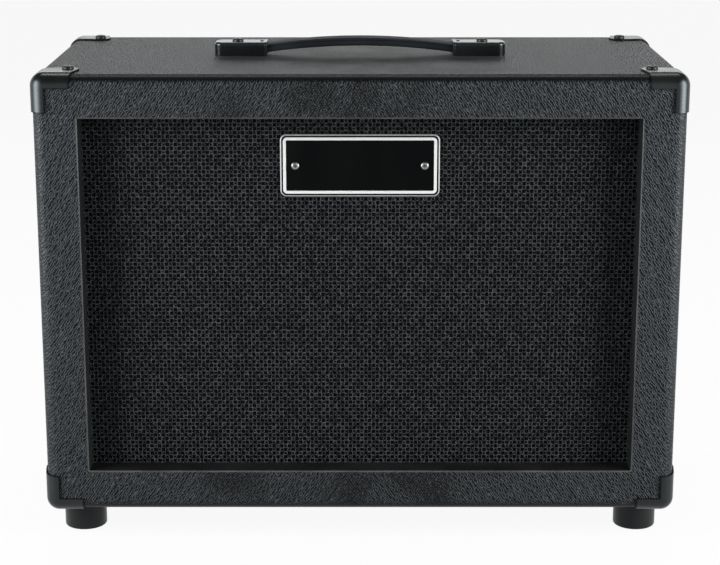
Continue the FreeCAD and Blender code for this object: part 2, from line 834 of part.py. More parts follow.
MOUTH_X = "(handle_length / 2 - cap_length)"
ARCH_RADIUS = f"(({MOUTH_X} * {MOUTH_X} + strap_rise * strap_rise) / (2 * strap_rise))"
STRAP_END_Z = f"({TOP} + strap_lift + strap_thickness / 2)"
ARCH_CENTRE = f"({STRAP_END_Z} + strap_rise - {ARCH_RADIUS})"


def arched(name, half_width, half_height):
    """A bar of rectangular section bent along the handle's arch."""
    body = new_body(name)
    profile = outline(body, "YZ_Plane", [
        (f"-({half_width})", f"{ARCH_RADIUS} - ({half_height})"),
        (half_width, f"{ARCH_RADIUS} - ({half_height})"),
        (half_width, f"{ARCH_RADIUS} + ({half_height})"),
        (f"-({half_width})", f"{ARCH_RADIUS} + ({half_height})"),
    ])
    bend = body.newObject("PartDesign::Revolution", "bend")
    bend.Profile = profile
    bend.ReferenceAxis = (profile, ["H_Axis"])
    bind(bend, "Angle", f"2 * {ARCH_SPARE} * asin({MOUTH_X} / {ARCH_RADIUS})")
    bend.Midplane = True
    return place(body, "0", "0", ARCH_CENTRE)


def slab(name, half_length, half_width):
    """A plain block round the handle, to trim it to length."""
    z = (TOP, f"{TOP} + cap_height + strap_rise")
    return block(name, both_ways(half_length), both_ways(half_width), z)


grip_bar = arched("grip_bar", "strap_width / 2", "strap_thickness / 2")
round_edges(grip_bar, lambda edge: edge.BoundBox.XLength > edge.BoundBox.YLength, "strap_round")
grip_length = slab("grip_length", f"({MOUTH_X} - strap_gap)", "strap_width")
band_way = arched("band_way", "band_width / 2 + band_gap", "band_thickness / 2 + band_gap")
node("handle_grip", cut("grip_slotted", common("grip_trimmed", grip_bar, grip_length), band_way))

TAIL_END = "(handle_length / 2 - cap_wall - mouth_gap)"
TAIL_Z = (f"{STRAP_END_Z} - band_thickness / 2", f"{STRAP_END_Z} + band_thickness / 2")
SLOT_HALF = "(boss_radius + band_gap)"
band_arch = common(
    "band_arch",
    arched("band_bar", "band_width / 2", "band_thickness / 2"),
    slab("band_length", f"({MOUTH_X} + band_gap)", "band_width"),
)
tails = [
    block("band_tail", mirrored(side, f"({MOUTH_X} - strap_gap / 2)", TAIL_END),
          both_ways("band_width / 2"), TAIL_Z)
    for side in SIDES.values()
]
SLOT_X = (f"({CAP_SCREW_X} - {SLOT_HALF})", f"({CAP_SCREW_X} + {SLOT_HALF} + band_slip)")
slots = group("band_slots", [
    block("band_slot", mirrored(side, *SLOT_X), both_ways(SLOT_HALF),
          (f"{TAIL_Z[0]} - {PAST}", f"{TAIL_Z[1]} + {PAST}"))
    for side in SIDES.values()
])
node("handle_spring_band", cut("band_slotted", fuse("band", band_arch, *tails), slots))


def handle_cap(name, side):
    """A hood that is open below and towards the strap, with a boss round its bolt."""
    body = boxed(f"{name}_body", mirrored(side, MOUTH_X, "handle_length / 2"), both_ways("cap_width / 2"),
                 (TOP, f"{TOP} + cap_height"))
    doc.recompute()
    mouth = number(MOUTH_X)
    roof = number(f"{TOP} + cap_height")
    upright = runs_along("z")

    def outer_corner(edge):
        return upright(edge) and abs(edge.BoundBox.Center.x) > mouth + 1

    def roof_rim(edge):
        box = edge.BoundBox
        return abs(box.ZMin - roof) < 1e-3 and abs(box.Center.x) > mouth + 1e-3

    round_edges(body, outer_corner, "cap_end_radius")
    round_edges(body, roof_rim, "cap_top_radius")
    ceiling = f"({STRAP_END_Z} + strap_thickness / 2 + mouth_gap)"
    sunk_box(body, mirrored(side, f"{MOUTH_X} - {PAST}", "handle_length / 2 - cap_wall"),
             both_ways("(strap_width / 2 + mouth_gap)"), (f"{TOP} - {PAST}", ceiling))
    spot = (f"{side} * {CAP_SCREW_X}", "0", TOP)
    size_rod(body.newObject("PartDesign::AdditiveCylinder", "boss"), "z", "boss_radius", spot,
             f"{ceiling} - {TOP}")
    sunk_rod(body, "z", BOLT_HOLE, spot, f"cap_height + {PAST}")
    return node(name, body)


for side_name, side in SIDES.items():
    handle_cap(f"handle_cap_{side_name}", side)

handle_bolt = pan_screw("handle_bolt", "bolt", "cap_height + covering + panel + nut_height + bolt_spare")
node("handle_bolts", group("handle_bolt_pair", copies(
    "handle_bolt_copy", handle_bolt, "+z",
    [(f"{side} * {CAP_SCREW_X}", "0", f"{TOP} + cap_height") for side in SIDES.values()])))
node("handle_nuts", group("handle_nut_pair", copies(
    "handle_nut_copy", flange_nut, "-z",
    [(f"{side} * {CAP_SCREW_X}", "0", INNER_TOP) for side in SIDES.values()])))


# Back panel and its covering, with a hatch for the jack

JACK_Z = "(foot_height + jack_rise)"
PANEL_X = both_ways(f"({INNER_X} - back_gap)")
PANEL_Z = (f"{INNER_LOW} + back_gap", f"{INNER_TOP} - back_gap")
plate_spots = [
    (f"{x} * (plate_width / 2 - plate_edge)", f"{JACK_Z} + {z} * (plate_height / 2 - plate_edge)")
    for x in (-1, 1) for z in (-1, 1)
]
PLATE_REAR = f"({BACK_REAR} + plate_thickness)"
PLATE_SCREW = "(plate_thickness + covering + screw_bite)"
plate_holes = group("plate_holes", drilled(
    "plate_hole", "y", TRIM_HOLE,
    [(x, f"{PLATE_REAR} - {PLATE_SCREW} - tip_room", z) for x, z in plate_spots],
    f"{PLATE_SCREW} + tip_room + {PAST}",
))
hatch = block("hatch", both_ways("hatch_width / 2"), (f"{BACK_FRONT} - {PAST}", f"{BACK_REAR} + {PAST}"),
              (f"{JACK_Z} - hatch_height / 2", f"{JACK_Z} + hatch_height / 2"))
for name, y in (("back_panel", (BACK_FRONT, BACK_WOOD)), ("back_covering", (BACK_WOOD, BACK_REAR))):
    sheet_piece = block(f"{name}_blank", PANEL_X, y, PANEL_Z)
    for holes in (hatch, back_holes, plate_holes):
        sheet_piece = cut(f"{name}_cut", sheet_piece, holes)
    node(name, sheet_piece)
back_screw = pan_screw("back_screw", "screw", BACK_SCREW)
node("back_screws", group("back_screw_set", copies(
    "back_screw_copy", back_screw, "+y", [(x, BACK_REAR, z) for x, z in back_screw_spots])))


# Jack plate and input jack: a bushing on a frame, whose arm carries an insulated tip contact

jack_panel = boxed("jack_panel", both_ways("plate_width / 2"), (BACK_REAR, PLATE_REAR),
                   (f"{JACK_Z} - plate_height / 2", f"{JACK_Z} + plate_height / 2"))
round_edges(jack_panel, runs_along("y"), "plate_corner")
sunk_rod(jack_panel, "y", "bushing_diameter / 2 + hole_clearance", ("0", f"{BACK_REAR} - {PAST}", JACK_Z),
         f"plate_thickness + 2 * {PAST}")
node("jack_plate", cut("jack_panel_drilled", jack_panel, plate_holes))
plate_screw = pan_screw("plate_screw", "trim", PLATE_SCREW)
node("jack_plate_screws", group("plate_screw_set", copies(
    "plate_screw_copy", plate_screw, "+y", [(x, PLATE_REAR, z) for x, z in plate_spots])))

FLANGE_FRONT = f"({BACK_REAR} - jack_sheet)"
BUSHING_END = f"({PLATE_REAR} + bushing_reach - plate_thickness)"
ARM_X = ("arm_offset", "arm_offset + jack_sheet")
ARM_Y = (f"{FLANGE_FRONT} - arm_length", f"{FLANGE_FRONT} + jack_sheet / 2")
STACK_Y = (f"{FLANGE_FRONT} - stack_start - stack_length", f"{FLANGE_FRONT} - stack_start")
STACK_Z = (f"{JACK_Z} - arm_width / 2", f"{JACK_Z} + arm_width / 2")
LUG_X = ("arm_offset - wafer - 2 * leaf", "arm_offset - wafer")
LUG_LOW = f"({JACK_Z} - arm_width / 2 - lug_drop)"
LUG_MID = f"({STACK_Y[0]} + stack_length / 2)"
SLEEVE_LUG_MID = f"({ARM_Y[0]} + lug_width / 2)"


def lug_y(middle):
    return f"{middle} - lug_width / 2", f"{middle} + lug_width / 2"


jack_frame = fuse(
    "jack_frame_blank",
    rod("jack_flange_disc", "y", "jack_flange / 2", ("0", FLANGE_FRONT, JACK_Z), "jack_sheet"),
    rod("bushing", "y", "bushing_diameter / 2", ("0", FLANGE_FRONT, JACK_Z),
        f"{BUSHING_END} - {FLANGE_FRONT}"),
    block("jack_arm", ARM_X, ARM_Y, STACK_Z),
    block("sleeve_lug", ARM_X, lug_y(SLEEVE_LUG_MID), (LUG_LOW, JACK_Z)),
)
jack_bore = rod("jack_bore_way", "y", "jack_bore / 2", ("0", f"{FLANGE_FRONT} - {PAST}", JACK_Z),
                f"{BUSHING_END} - {FLANGE_FRONT} + 2 * {PAST}")
node("jack_frame", cut("jack_frame_bored", jack_frame, jack_bore))
node("jack_insulators", group("wafers", [
    block("outer_wafer", ("arm_offset - wafer", "arm_offset"), STACK_Y, STACK_Z),
    block("inner_wafer", (f"{LUG_X[0]} - wafer", LUG_X[0]), STACK_Y, STACK_Z),
]))
node("jack_tip_lug", fuse(
    "tip_lug",
    block("leaf_root", LUG_X, STACK_Y, STACK_Z),
    block("lug_tongue", LUG_X, lug_y(LUG_MID), (LUG_LOW, JACK_Z)),
))
LEAF_Y = f"({STACK_Y[0]} - band_gap)"
BEND_Y = f"({LEAF_Y} - leaf_bend)"
TIP_Y = f"({LEAF_Y} - leaf_reach)"
LEAF_X = f"({LUG_X[0]})"
tip_leaf = padded("tip_leaf", "XY_Plane", [
    (LEAF_X, LEAF_Y),
    (LEAF_X, BEND_Y),
    (f"{LEAF_X} - leaf_dip", TIP_Y),
    (f"{LEAF_X} - leaf_dip / 2", f"{TIP_Y} - leaf_hook"),
    (f"{LEAF_X} - leaf_dip / 2 + leaf", f"{TIP_Y} - leaf_hook"),
    (f"{LEAF_X} - leaf_dip + {FOLD} * leaf", TIP_Y),
    (f"{LEAF_X} + leaf", BEND_Y),
    (f"{LEAF_X} + leaf", LEAF_Y),
], "leaf_width")
node("jack_tip_spring", place(tip_leaf, "0", "0", f"{JACK_Z} - leaf_width / 2"))
node("jack_washer", cut(
    "washer_bored",
    rod("washer_disc", "y", "jack_washer / 2", ("0", PLATE_REAR, JACK_Z), "washer_thickness"),
    rod("washer_way", "y", "bushing_diameter / 2 + hole_clearance", ("0", f"{PLATE_REAR} - {PAST}", JACK_Z),
        f"washer_thickness + 2 * {PAST}"),
))
node("jack_nut", cut(
    "jack_nut_bored",
    hexagon("jack_hexagon", "y", "jack_nut_flats", ("0", f"{PLATE_REAR} + washer_thickness", JACK_Z),
            "jack_nut_height"),
    rod("jack_nut_way", "y", "bushing_diameter / 2 + hole_clearance", ("0", PLATE_REAR, JACK_Z),
        f"washer_thickness + jack_nut_height + {PAST}"),
))


# Driver: every round piece is turned about the axis that runs back through the middle of the baffle

def driver_turned(name, points):
    return place(turned(name, "y", points), "0", BAFFLE_BACK, CENTRE)


def ring(inner, outer, front, rear):
    return [(inner, front), (outer, front), (outer, rear), (inner, rear)]


GASKET_INNER = "(driver_radius - gasket_width)"
FLANGE_INNER = "(driver_radius - flange_width)"
WINDOW_INNER = "(shelf_radius + window_foot)"
WINDOW_OUTER = f"({FLANGE_INNER} - window_head)"
flange_rear = "(gasket + basket_wall)"
seat_front = "(seat_depth - basket_wall)"
basket = driver_turned("basket_shell", [
    ("driver_radius", "gasket"),
    (FLANGE_INNER, "gasket"),
    (f"{FLANGE_INNER} - basket_wall", "rim_depth"),
    ("shelf_radius - basket_wall", "shelf_depth"),
    ("shelf_inner", "shelf_depth"),
    ("shelf_inner", seat_front),
    ("seat_hole", seat_front),
    ("seat_hole", "seat_depth"),
    ("shelf_inner + basket_wall", "seat_depth"),
    ("shelf_inner + basket_wall", "shelf_depth + basket_wall"),
    ("shelf_radius", "shelf_depth + basket_wall"),
    (f"{FLANGE_INNER} + basket_wall", "rim_depth"),
    (f"{FLANGE_INNER} + basket_wall", flange_rear),
    ("driver_radius", flange_rear),
])
window = basket.newObject("PartDesign::Pocket", "window")
window.Profile = outline(basket, "XZ_Plane", [
    ("-window_inner_width / 2", f"-{WINDOW_INNER}"),
    ("-window_outer_width / 2", f"-{WINDOW_OUTER}"),
    ("window_outer_width / 2", f"-{WINDOW_OUTER}"),
    ("window_inner_width / 2", f"-{WINDOW_INNER}"),
])
window.Type = "ThroughAll"
window.Midplane = True
repeat_about_y(basket, window, WINDOWS)
bolt_ways = group("basket_bolt_ways", drilled(
    "basket_bolt_way", "y", BOLT_HOLE, [(x, BAFFLE_BACK, z) for x, z in driver_spots],
    f"{BOLT_END} - {BAFFLE_BACK}",
))
node("driver_basket", cut("basket_drilled", basket, bolt_ways))
gasket_ring = driver_turned("gasket_ring", ring(GASKET_INNER, "driver_radius", "0", "gasket"))
node("driver_gasket", cut("gasket_drilled", gasket_ring, bolt_ways))

FORMER_OUT = "(coil_radius + former_wall)"
CONE_RUN = f"(cone_radius - {FORMER_OUT})"
CONE_DROP = "(cone_neck_depth - cone_rim_depth)"


def cone_front(radius):
    """Depth of the cone's front face at a radius."""
    return f"(cone_rim_depth + (cone_radius - ({radius})) / {CONE_RUN} * {CONE_DROP})"


node("driver_cone", driver_turned("cone_shell", [
    ("cone_radius", "cone_rim_depth"),
    ("cone_radius", "cone_rim_depth + cone_wall"),
    (FORMER_OUT, "cone_neck_depth + cone_wall"),
    (FORMER_OUT, "cone_neck_depth"),
]))


def corrugated(name, outer, inner, outer_level, level, rolls):
    """A soft ring whose section swings to and fro between two flat rims."""
    wall = f"{name}_wall"
    wave_outer = f"({outer} - {name}_rim)"
    run = f"({wave_outer} - {inner} - {name}_lip)"
    count = 2 * rolls
    front = [(outer, outer_level), (wave_outer, outer_level)]
    for k in range(1, count):
        swing = "-" if k % 2 else "+"
        front.append((f"{wave_outer} - {run} * {k} / {count}", f"{level} {swing} {name}_wave / 2"))
    front += [(f"{inner} + {name}_lip", level), (inner, level)]
    rear = [(radius, f"{depth} + {wall}") for radius, depth in reversed(front)]
    return node(f"driver_{name}", driver_turned(f"{name}_ring", front + rear))


corrugated("surround", f"({GASKET_INNER} - soft_gap)", "(cone_radius + soft_gap)", "gasket - surround_wall",
           "cone_rim_depth", SURROUND_ROLLS)
corrugated("spider", "spider_radius", f"({FORMER_OUT} + soft_gap)", "shelf_depth - spider_wall",
           "(shelf_depth - spider_wave)", SPIDER_ROLLS)

GAP_MIDDLE = "(seat_depth + top_plate_thickness / 2)"
WINDING_OUT = f"({FORMER_OUT} + winding_wall)"
node("driver_voice_coil", driver_turned("coil", [
    ("coil_radius", "cone_neck_depth - former_wall"),
    (FORMER_OUT, "cone_neck_depth - former_wall"),
    (FORMER_OUT, f"{GAP_MIDDLE} - winding_length / 2"),
    (WINDING_OUT, f"{GAP_MIDDLE} - winding_length / 2"),
    (WINDING_OUT, f"{GAP_MIDDLE} + winding_length / 2"),
    (FORMER_OUT, f"{GAP_MIDDLE} + winding_length / 2"),
    (FORMER_OUT, "cone_neck_depth - former_wall + former_length"),
    ("coil_radius", "cone_neck_depth - former_wall + former_length"),
]))

DOME_RADIUS = "((cap_radius * cap_radius + dome_height * dome_height) / (2 * dome_height))"
DOME_RIM = f"({cone_front('cap_radius')} - hole_clearance)"
dome_centre = ("0", f"{BAFFLE_BACK} + {DOME_RIM} - dome_height + {DOME_RADIUS}", CENTRE)


def ball(name, radius):
    item = doc.addObject("Part::Sphere", name)
    bind(item, "Radius", radius)
    return place(item, *dome_centre)


dome = cut("dome", ball("dome_outside", DOME_RADIUS), ball("dome_inside", f"{DOME_RADIUS} - dome_wall"))
node("driver_dust_cap", common("dome_cap", dome, rod(
    "dome_reach", "y", "cap_radius", ("0", f"{BAFFLE_BACK} + {DOME_RIM} - dome_height - {PAST}", CENTRE),
    f"dome_height + {PAST}",
)))

PLATE_END = "(seat_depth + top_plate_thickness)"
MAGNET_END = f"({PLATE_END} + magnet_thickness)"
node("driver_top_plate", driver_turned("top_plate_ring", ring(
    f"({WINDING_OUT} + coil_gap)", "top_plate_radius", "seat_depth", PLATE_END)))
node("driver_magnet", driver_turned("magnet_ring", ring(
    "magnet_hole", "magnet_radius", PLATE_END, MAGNET_END)))
node("driver_yoke", driver_turned("yoke", [
    ("vent_radius", "seat_depth"),
    ("coil_radius - coil_gap", "seat_depth"),
    ("coil_radius - coil_gap", MAGNET_END),
    ("yoke_radius", MAGNET_END),
    ("yoke_radius", f"{MAGNET_END} + yoke_thickness"),
    ("vent_radius", f"{MAGNET_END} + yoke_thickness"),
]))

driver_bolt = pan_screw("driver_bolt", "bolt", f"{BOLT_END} - {BOLT_SEAT}")
node("driver_bolts", group("driver_bolt_set", copies(
    "driver_bolt_copy", driver_bolt, "-y", [(x, BOLT_SEAT, z) for x, z in driver_spots])))
node("driver_nuts", group("driver_nut_set", copies(
    "driver_nut_copy", flange_nut, "+y",
    [(x, f"{BAFFLE_BACK} + {flange_rear}", z) for x, z in driver_spots])))


# Driver terminals below the magnet, and the wires to the jack

SHELF_REAR = f"({BAFFLE_BACK} + shelf_depth + basket_wall)"
STRIP_Y = (SHELF_REAR, f"{SHELF_REAR} + strip_thickness")
TAB_Y = (STRIP_Y[1], f"{STRIP_Y[1]} + tab_thickness")
TAB_MID = f"({STRIP_Y[1]} + tab_thickness / 2)"
EAR_TAB_X = "((tab_spread + sleeve_width + ear_tab) / 2 + soft_gap)"
LEAD_START = f"({WINDOW_INNER} + 1.5 * tinsel_diameter)"


def below(radius):
    return f"({CENTRE} - ({radius}))"


node("terminal_strip", block(
    "strip", both_ways("strip_width / 2"), STRIP_Y, (below("strip_outer"), below("strip_inner"))))
tabs = []
sleeves = []
tab_top = below("strip_inner + tab_thickness")
for side in SIDES.values():
    blade_x = mirrored(side, "(tab_spread - tab_width) / 2", "(tab_spread + tab_width) / 2")
    base_x = mirrored(side, "(tab_spread - tab_width) / 2", f"{EAR_TAB_X} + ear_tab / 2")
    ear_x = mirrored(side, f"{EAR_TAB_X} - ear_tab / 2", f"{EAR_TAB_X} + ear_tab / 2")
    tabs.append(fuse(
        "tab",
        block("tab_base", base_x, TAB_Y, (below("strip_outer"), tab_top)),
        block("tab_blade", blade_x, TAB_Y, (below("tab_reach"), tab_top)),
        block("tab_ear", ear_x, TAB_Y, (below(f"{LEAD_START} + ear_tab / 2"), tab_top)),
    ))
    sleeve_x = mirrored(side, "(tab_spread - sleeve_width) / 2", "(tab_spread + sleeve_width) / 2")
    sleeve_y = (f"{TAB_MID} - sleeve_thickness / 2", f"{TAB_MID} + sleeve_thickness / 2")
    sleeve = block("sleeve", sleeve_x, sleeve_y, (below("sleeve_outer"), below("sleeve_inner")))
    way_x = mirrored(side, "(tab_spread - tab_width) / 2 - hole_clearance",
                     "(tab_spread + tab_width) / 2 + hole_clearance")
    way_y = (f"{TAB_Y[0]} - hole_clearance", f"{TAB_Y[1]} + hole_clearance")
    way = block("sleeve_way", way_x, way_y, (below("tab_reach + tip_room"), below(f"sleeve_inner - {PAST}")))
    sleeves.append(cut("sleeve_bored", sleeve, way))
node("terminal_tabs", group("tab_pair", tabs))
node("push_on_connectors", group("sleeve_pair", sleeves))


def tube(name, route, diameter):
    """A wire along straight runs that are joined by arcs, each as large as its two runs allow."""
    spots = [FreeCAD.Vector(*point) for point in route]
    edges = []
    bends = []
    start = spots[0]
    for before, here, after in zip(spots, spots[1:], spots[2:]):
        back = before - here
        ahead = after - here
        reach = ARC_SHARE * min(back.Length, ahead.Length)
        back.normalize()
        ahead.normalize()
        half_turn = (math.pi - back.getAngle(ahead)) / 2
        bend = reach / math.tan(half_turn)
        middle = here + (back + ahead).normalize() * (bend / math.cos(half_turn) - bend)
        edges.append(Part.LineSegment(start, here + back * reach).toShape())
        edges.append(Part.Arc(here + back * reach, middle, here + ahead * reach).toShape())
        start = here + ahead * reach
        bends.append(round(bend, 1))
    edges.append(Part.LineSegment(start, spots[-1]).toShape())
    path = Part.Wire(edges)
    section = Part.Wire(Part.makeCircle(diameter / 2, spots[0], spots[1] - spots[0]).Edges)
    item = doc.addObject("Part::Feature", name)
    item.Shape = path.makePipeShell([section], True, True)
    fullness = item.Shape.Volume / (math.pi * diameter ** 2 / 4 * path.Length)
    print(name, "bend radii", bends, "volume over section times length", round(fullness, 4))
    return item


# Share of the run from start to end, and drop below the start, at each point of a wire's sag
WIRE_SAG = [(0, 20), (0.16, 40), (0.42, 46), (0.63, 32), (0.81, 6)]
# How far a lead stands out from its tab's solder ear on its way forward, and the share of the way covered
LEAD_BOW = [(0, 0.25), (3.4, 0.5), (0.9, 0.76)]


def jack_wire(side, end):
    start = [number(text) for text in (f"{side} * tab_spread / 2", TAB_MID, below("sleeve_outer"))]
    route = [start]
    for share, drop in WIRE_SAG:
        x, y = [start[k] + share * (end[k] - start[k]) for k in (0, 1)]
        route.append([x, y, start[2] - drop])
    return tube("wire", route + [end], number("wire_diameter"))


def tinsel_lead(side):
    """A flexible lead from a tab's solder ear to the back of the cone."""
    x = side * number(EAR_TAB_X)
    diameter = number("tinsel_diameter")
    start = [x, number(STRIP_Y[1]), number(below(LEAD_START))]
    end_radius = number(WINDOW_INNER) - diameter
    cone_depth = number(cone_front(str(math.hypot(end_radius, x))))
    end_y = number(f"{BAFFLE_BACK} + cone_wall + soft_gap") + cone_depth + diameter / 4
    end = [x, end_y, number(below(str(end_radius)))]
    route = [start]
    for bow, share in LEAD_BOW:
        route.append([x, start[1] + share * (end[1] - start[1]), start[2] - bow])
    return tube("lead", route + [end], diameter)


WIRE_END_Z = number(f"{LUG_LOW} + lug_drop / 3")
tip_end = [number(f"{LUG_X[0]} - tip_room / 5"), number(f"{lug_y(LUG_MID)[0]} - soft_gap"), WIRE_END_Z]
sleeve_lug_front = number(f"{lug_y(SLEEVE_LUG_MID)[0]} - soft_gap")
sleeve_end = [number(f"{ARM_X[1]} - tip_room / 2"), sleeve_lug_front, WIRE_END_Z]
node("speaker_wires", group("wire_pair", [jack_wire(-1, tip_end), jack_wire(1, sleeve_end)]))
node("tinsel_leads", group("lead_pair", [tinsel_lead(side) for side in SIDES.values()]))


# Tests of the finished document, then one file for each piece

doc.recompute()
for item in doc.Objects:
    if "Invalid" in item.State or "Error" in item.State:
        raise RuntimeError(f"{item.Label} did not compute: {item.State}")
for item in nodes:
    if item.Shape.isNull() or not item.Shape.isValid() or not item.Shape.Solids:
        raise RuntimeError(f"{item.Label} has no valid solid")
os.makedirs("parts", exist_ok=True)
for item in nodes:
    item.Shape.exportStep(f"parts/{item.Label}.step")
print(len(nodes), "pieces written")
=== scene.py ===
import math

import bmesh
import bpy
import numpy as np
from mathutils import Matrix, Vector


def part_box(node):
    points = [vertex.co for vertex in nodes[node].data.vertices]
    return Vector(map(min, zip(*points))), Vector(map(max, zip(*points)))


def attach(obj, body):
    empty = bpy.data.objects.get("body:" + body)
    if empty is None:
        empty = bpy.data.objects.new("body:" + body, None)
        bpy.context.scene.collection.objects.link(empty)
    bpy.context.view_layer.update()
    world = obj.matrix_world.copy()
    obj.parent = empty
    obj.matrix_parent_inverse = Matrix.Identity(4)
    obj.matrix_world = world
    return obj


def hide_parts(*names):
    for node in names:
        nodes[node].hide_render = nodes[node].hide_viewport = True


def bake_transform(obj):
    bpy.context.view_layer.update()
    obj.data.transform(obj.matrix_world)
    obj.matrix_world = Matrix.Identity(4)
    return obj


# The cabinet's looks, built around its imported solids: metres, +Z up, the grille towards -Y.
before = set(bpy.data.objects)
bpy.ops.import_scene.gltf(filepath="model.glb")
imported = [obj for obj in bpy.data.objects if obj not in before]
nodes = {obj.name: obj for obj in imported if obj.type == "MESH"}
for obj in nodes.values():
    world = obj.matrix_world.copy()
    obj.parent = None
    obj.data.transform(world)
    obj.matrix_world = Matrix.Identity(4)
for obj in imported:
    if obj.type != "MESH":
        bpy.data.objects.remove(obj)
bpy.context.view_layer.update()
MM = 0.001
QUARTER = math.pi / 2
SIDES = ((-1, "left"), (1, "right"))

# Box, its openings by half their width and height, and the corner mouldings
SHELL_LOW, SHELL_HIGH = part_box("shell_covering")
SHELL_MIDDLE = (SHELL_LOW + SHELL_HIGH) / 2
SHELL_HALF = (SHELL_HIGH - SHELL_LOW) / 2
SHELL_ROUND = 10 * MM
VINYL_THICK = 0.9 * MM
FRONT_OPENING = (237.2 * MM, 155.7 * MM)
REAR_OPENING = (255 * MM, 172.5 * MM)
OPENING_ROUND = 1.2 * MM
OPENING_CORNER = 1.0 * MM
BACK_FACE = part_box("back_covering")[1].y
MOULDING_EDGE = 0.7 * MM

# Grille weave, with the places that are modelled on each yarn counted in yarns
CLOTH_LOW, CLOTH_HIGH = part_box("grille_cloth")
YARN_PITCH = 3.38 * MM
WARP_PLACES = (0, 0.35, 0.65)
WEFT_PLACES = (0, 0.5)
WEAVE_RIDGE = 0.95 * MM
WEAVE_DIMPLE = 0.16 * MM
WEAVE_HOLE = 0.85 * MM
WEFT_LOWER = 0.02 * MM
YARN_UNEVEN = 0.055
WEAVE_SEED = 1
WEAVE_FLOOR = 0.9 * MM
WEAVE_MARGIN = 2 * MM

# Feet
FOOT_RADIUS = 18.6 * MM
FOOT_CHAMFER = 0.4 * MM
TREAD_ROUND = 1.8 * MM
RECESS_RADIUS = 8 * MM
RECESS_CHAMFER = 0.6 * MM
RECESS_DEPTH = 19 * MM
FOOT_HOLE = 3 * MM

# Handle strap, with a groove on each side given by height and share of its depth
GRIP_LOW, GRIP_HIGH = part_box("handle_grip")
BAND_LOW, BAND_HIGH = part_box("handle_spring_band")
GRIP_ARCH = 584 * MM
GRIP_THICK = 7.2 * MM
GRIP_ROUND = 1.8 * MM
GROOVE_BELOW = 0.6 * MM
GROOVE_DEEP = 0.55 * MM
GROOVE_SHAPE = ((-0.6 * MM, 0), (-0.3 * MM, 0.6), (0, 1), (0.3 * MM, 0.6), (0.6 * MM, 0))
BAND_THICK = 1.0 * MM

# Handle caps, each with a collar and a rivet whose rings are given by radius and height
CAP_EDGE = 1.0 * MM
CAP_STEPS = 4
CAP_TOP_ROUND = 2.5 * MM
COLLAR_WIDE = 1.6 * MM
COLLAR_PROUD = 0.35 * MM
COLLAR_SUNK = 0.5 * MM
COLLAR_EDGE = 0.3 * MM
RIVET_INSET = 4.5 * MM
RIVET_SEGMENTS = 24
RIVET_RINGS = (
    (1.6 * MM, -0.2 * MM),
    (1.6 * MM, 0.15 * MM),
    (1.35 * MM, 0.45 * MM),
    (0.8 * MM, 0.65 * MM),
    (0.15 * MM, 0.7 * MM),
)

# Badge: its rim, the line inside it by its distance from the plate's edge, and the screw heads
BADGE_CORNER = 5.2 * MM
BEVEL_WIDE, BEVEL_DEEP = 1.0 * MM, 0.45 * MM
LINE_OUTSIDE, LINE_INSIDE = 2.4 * MM, 4.9 * MM
LINE_OUTER_CORNER, LINE_INNER_CORNER = 3.6 * MM, 1.1 * MM
LINE_SOFT = 0.15 * MM
HEAD_EDGE = 0.12 * MM
CROSS_DEEP = 0.2 * MM
CROSS_SHARE = 0.62

# Depths of the driver's flexing pieces, where they are still and where they move with the cone
SURROUND_FLEX = (-89.8 * MM, -83.8 * MM)
SPIDER_FLEX = (-25.4 * MM, -27.2 * MM)
LEAD_FLEX = (-24 * MM, -58.5 * MM)

# Smoothness
CORNER_STEPS = 8
EDGE_STEPS = 4
BEVEL_STEPS = 3
FOOT_SEGMENTS = 96
STRAP_STEPS = 40
WELD = 1e-6
SHARP_TURN = math.radians(40)
FLAT_TURN = math.radians(0.5)


# Mesh building


def place_object(name, mesh):
    """A new object with that mesh in the scene, shaded smooth except where it turns sharply."""
    mesh.polygons.foreach_set("use_smooth", [True] * len(mesh.polygons))
    mesh.set_sharp_from_angle(angle=SHARP_TURN)
    piece = bpy.data.objects.new(name, mesh)
    bpy.context.scene.collection.objects.link(piece)
    return piece


def lofted(name, loops, capped=False):
    """A surface of four-sided faces through closed rows of points that have equally many each."""
    count = len(loops[0])
    points = [tuple(point) for row in loops for point in row]
    faces = []
    for row in range(len(loops) - 1):
        for step in range(count):
            after = (step + 1) % count
            low, high = row * count, (row + 1) * count
            faces.append((low + step, low + after, high + after, high + step))
    if capped:
        last = (len(loops) - 1) * count
        faces.append(tuple(reversed(range(count))))
        faces.append(tuple(range(last, last + count)))
    mesh = bpy.data.meshes.new(name)
    mesh.from_pydata(points, [], faces)
    made = bmesh.new()
    made.from_mesh(mesh)
    bmesh.ops.remove_doubles(made, verts=made.verts, dist=WELD)
    bmesh.ops.recalc_face_normals(made, faces=made.faces)
    made.to_mesh(mesh)
    made.free()
    return place_object(name, mesh)


def softened(node, name, width, segments=BEVEL_STEPS):
    """A copy of a solid's mesh, its flat patches whole again and its sharp edges rounded by width."""
    mesh = bpy.data.meshes.new(name)
    made = bmesh.new()
    made.from_mesh(nodes[node].data)
    bmesh.ops.remove_doubles(made, verts=made.verts, dist=WELD)
    bmesh.ops.dissolve_limit(made, angle_limit=FLAT_TURN, verts=made.verts, edges=made.edges)
    made.to_mesh(mesh)
    made.free()
    mesh.normals_split_custom_set([(0, 0, 0)] * len(mesh.loops))
    piece = place_object(name, mesh)
    round_edges(piece, width, segments)
    return piece


def round_edges(piece, width, segments=BEVEL_STEPS):
    """Rounds the edges of a piece that turn sharply, and keeps its flats flat in the light."""
    bevel = piece.modifiers.new("rounded edges", "BEVEL")
    bevel.width = width
    bevel.segments = segments
    bevel.limit_method = "ANGLE"
    bevel.angle_limit = SHARP_TURN
    flatten(piece)


def flatten(piece):
    """Weights the normals by face area, so that a flat face stays flat beside a rounding."""
    weighted = piece.modifiers.new("even light", "WEIGHTED_NORMAL")
    weighted.keep_sharp = True


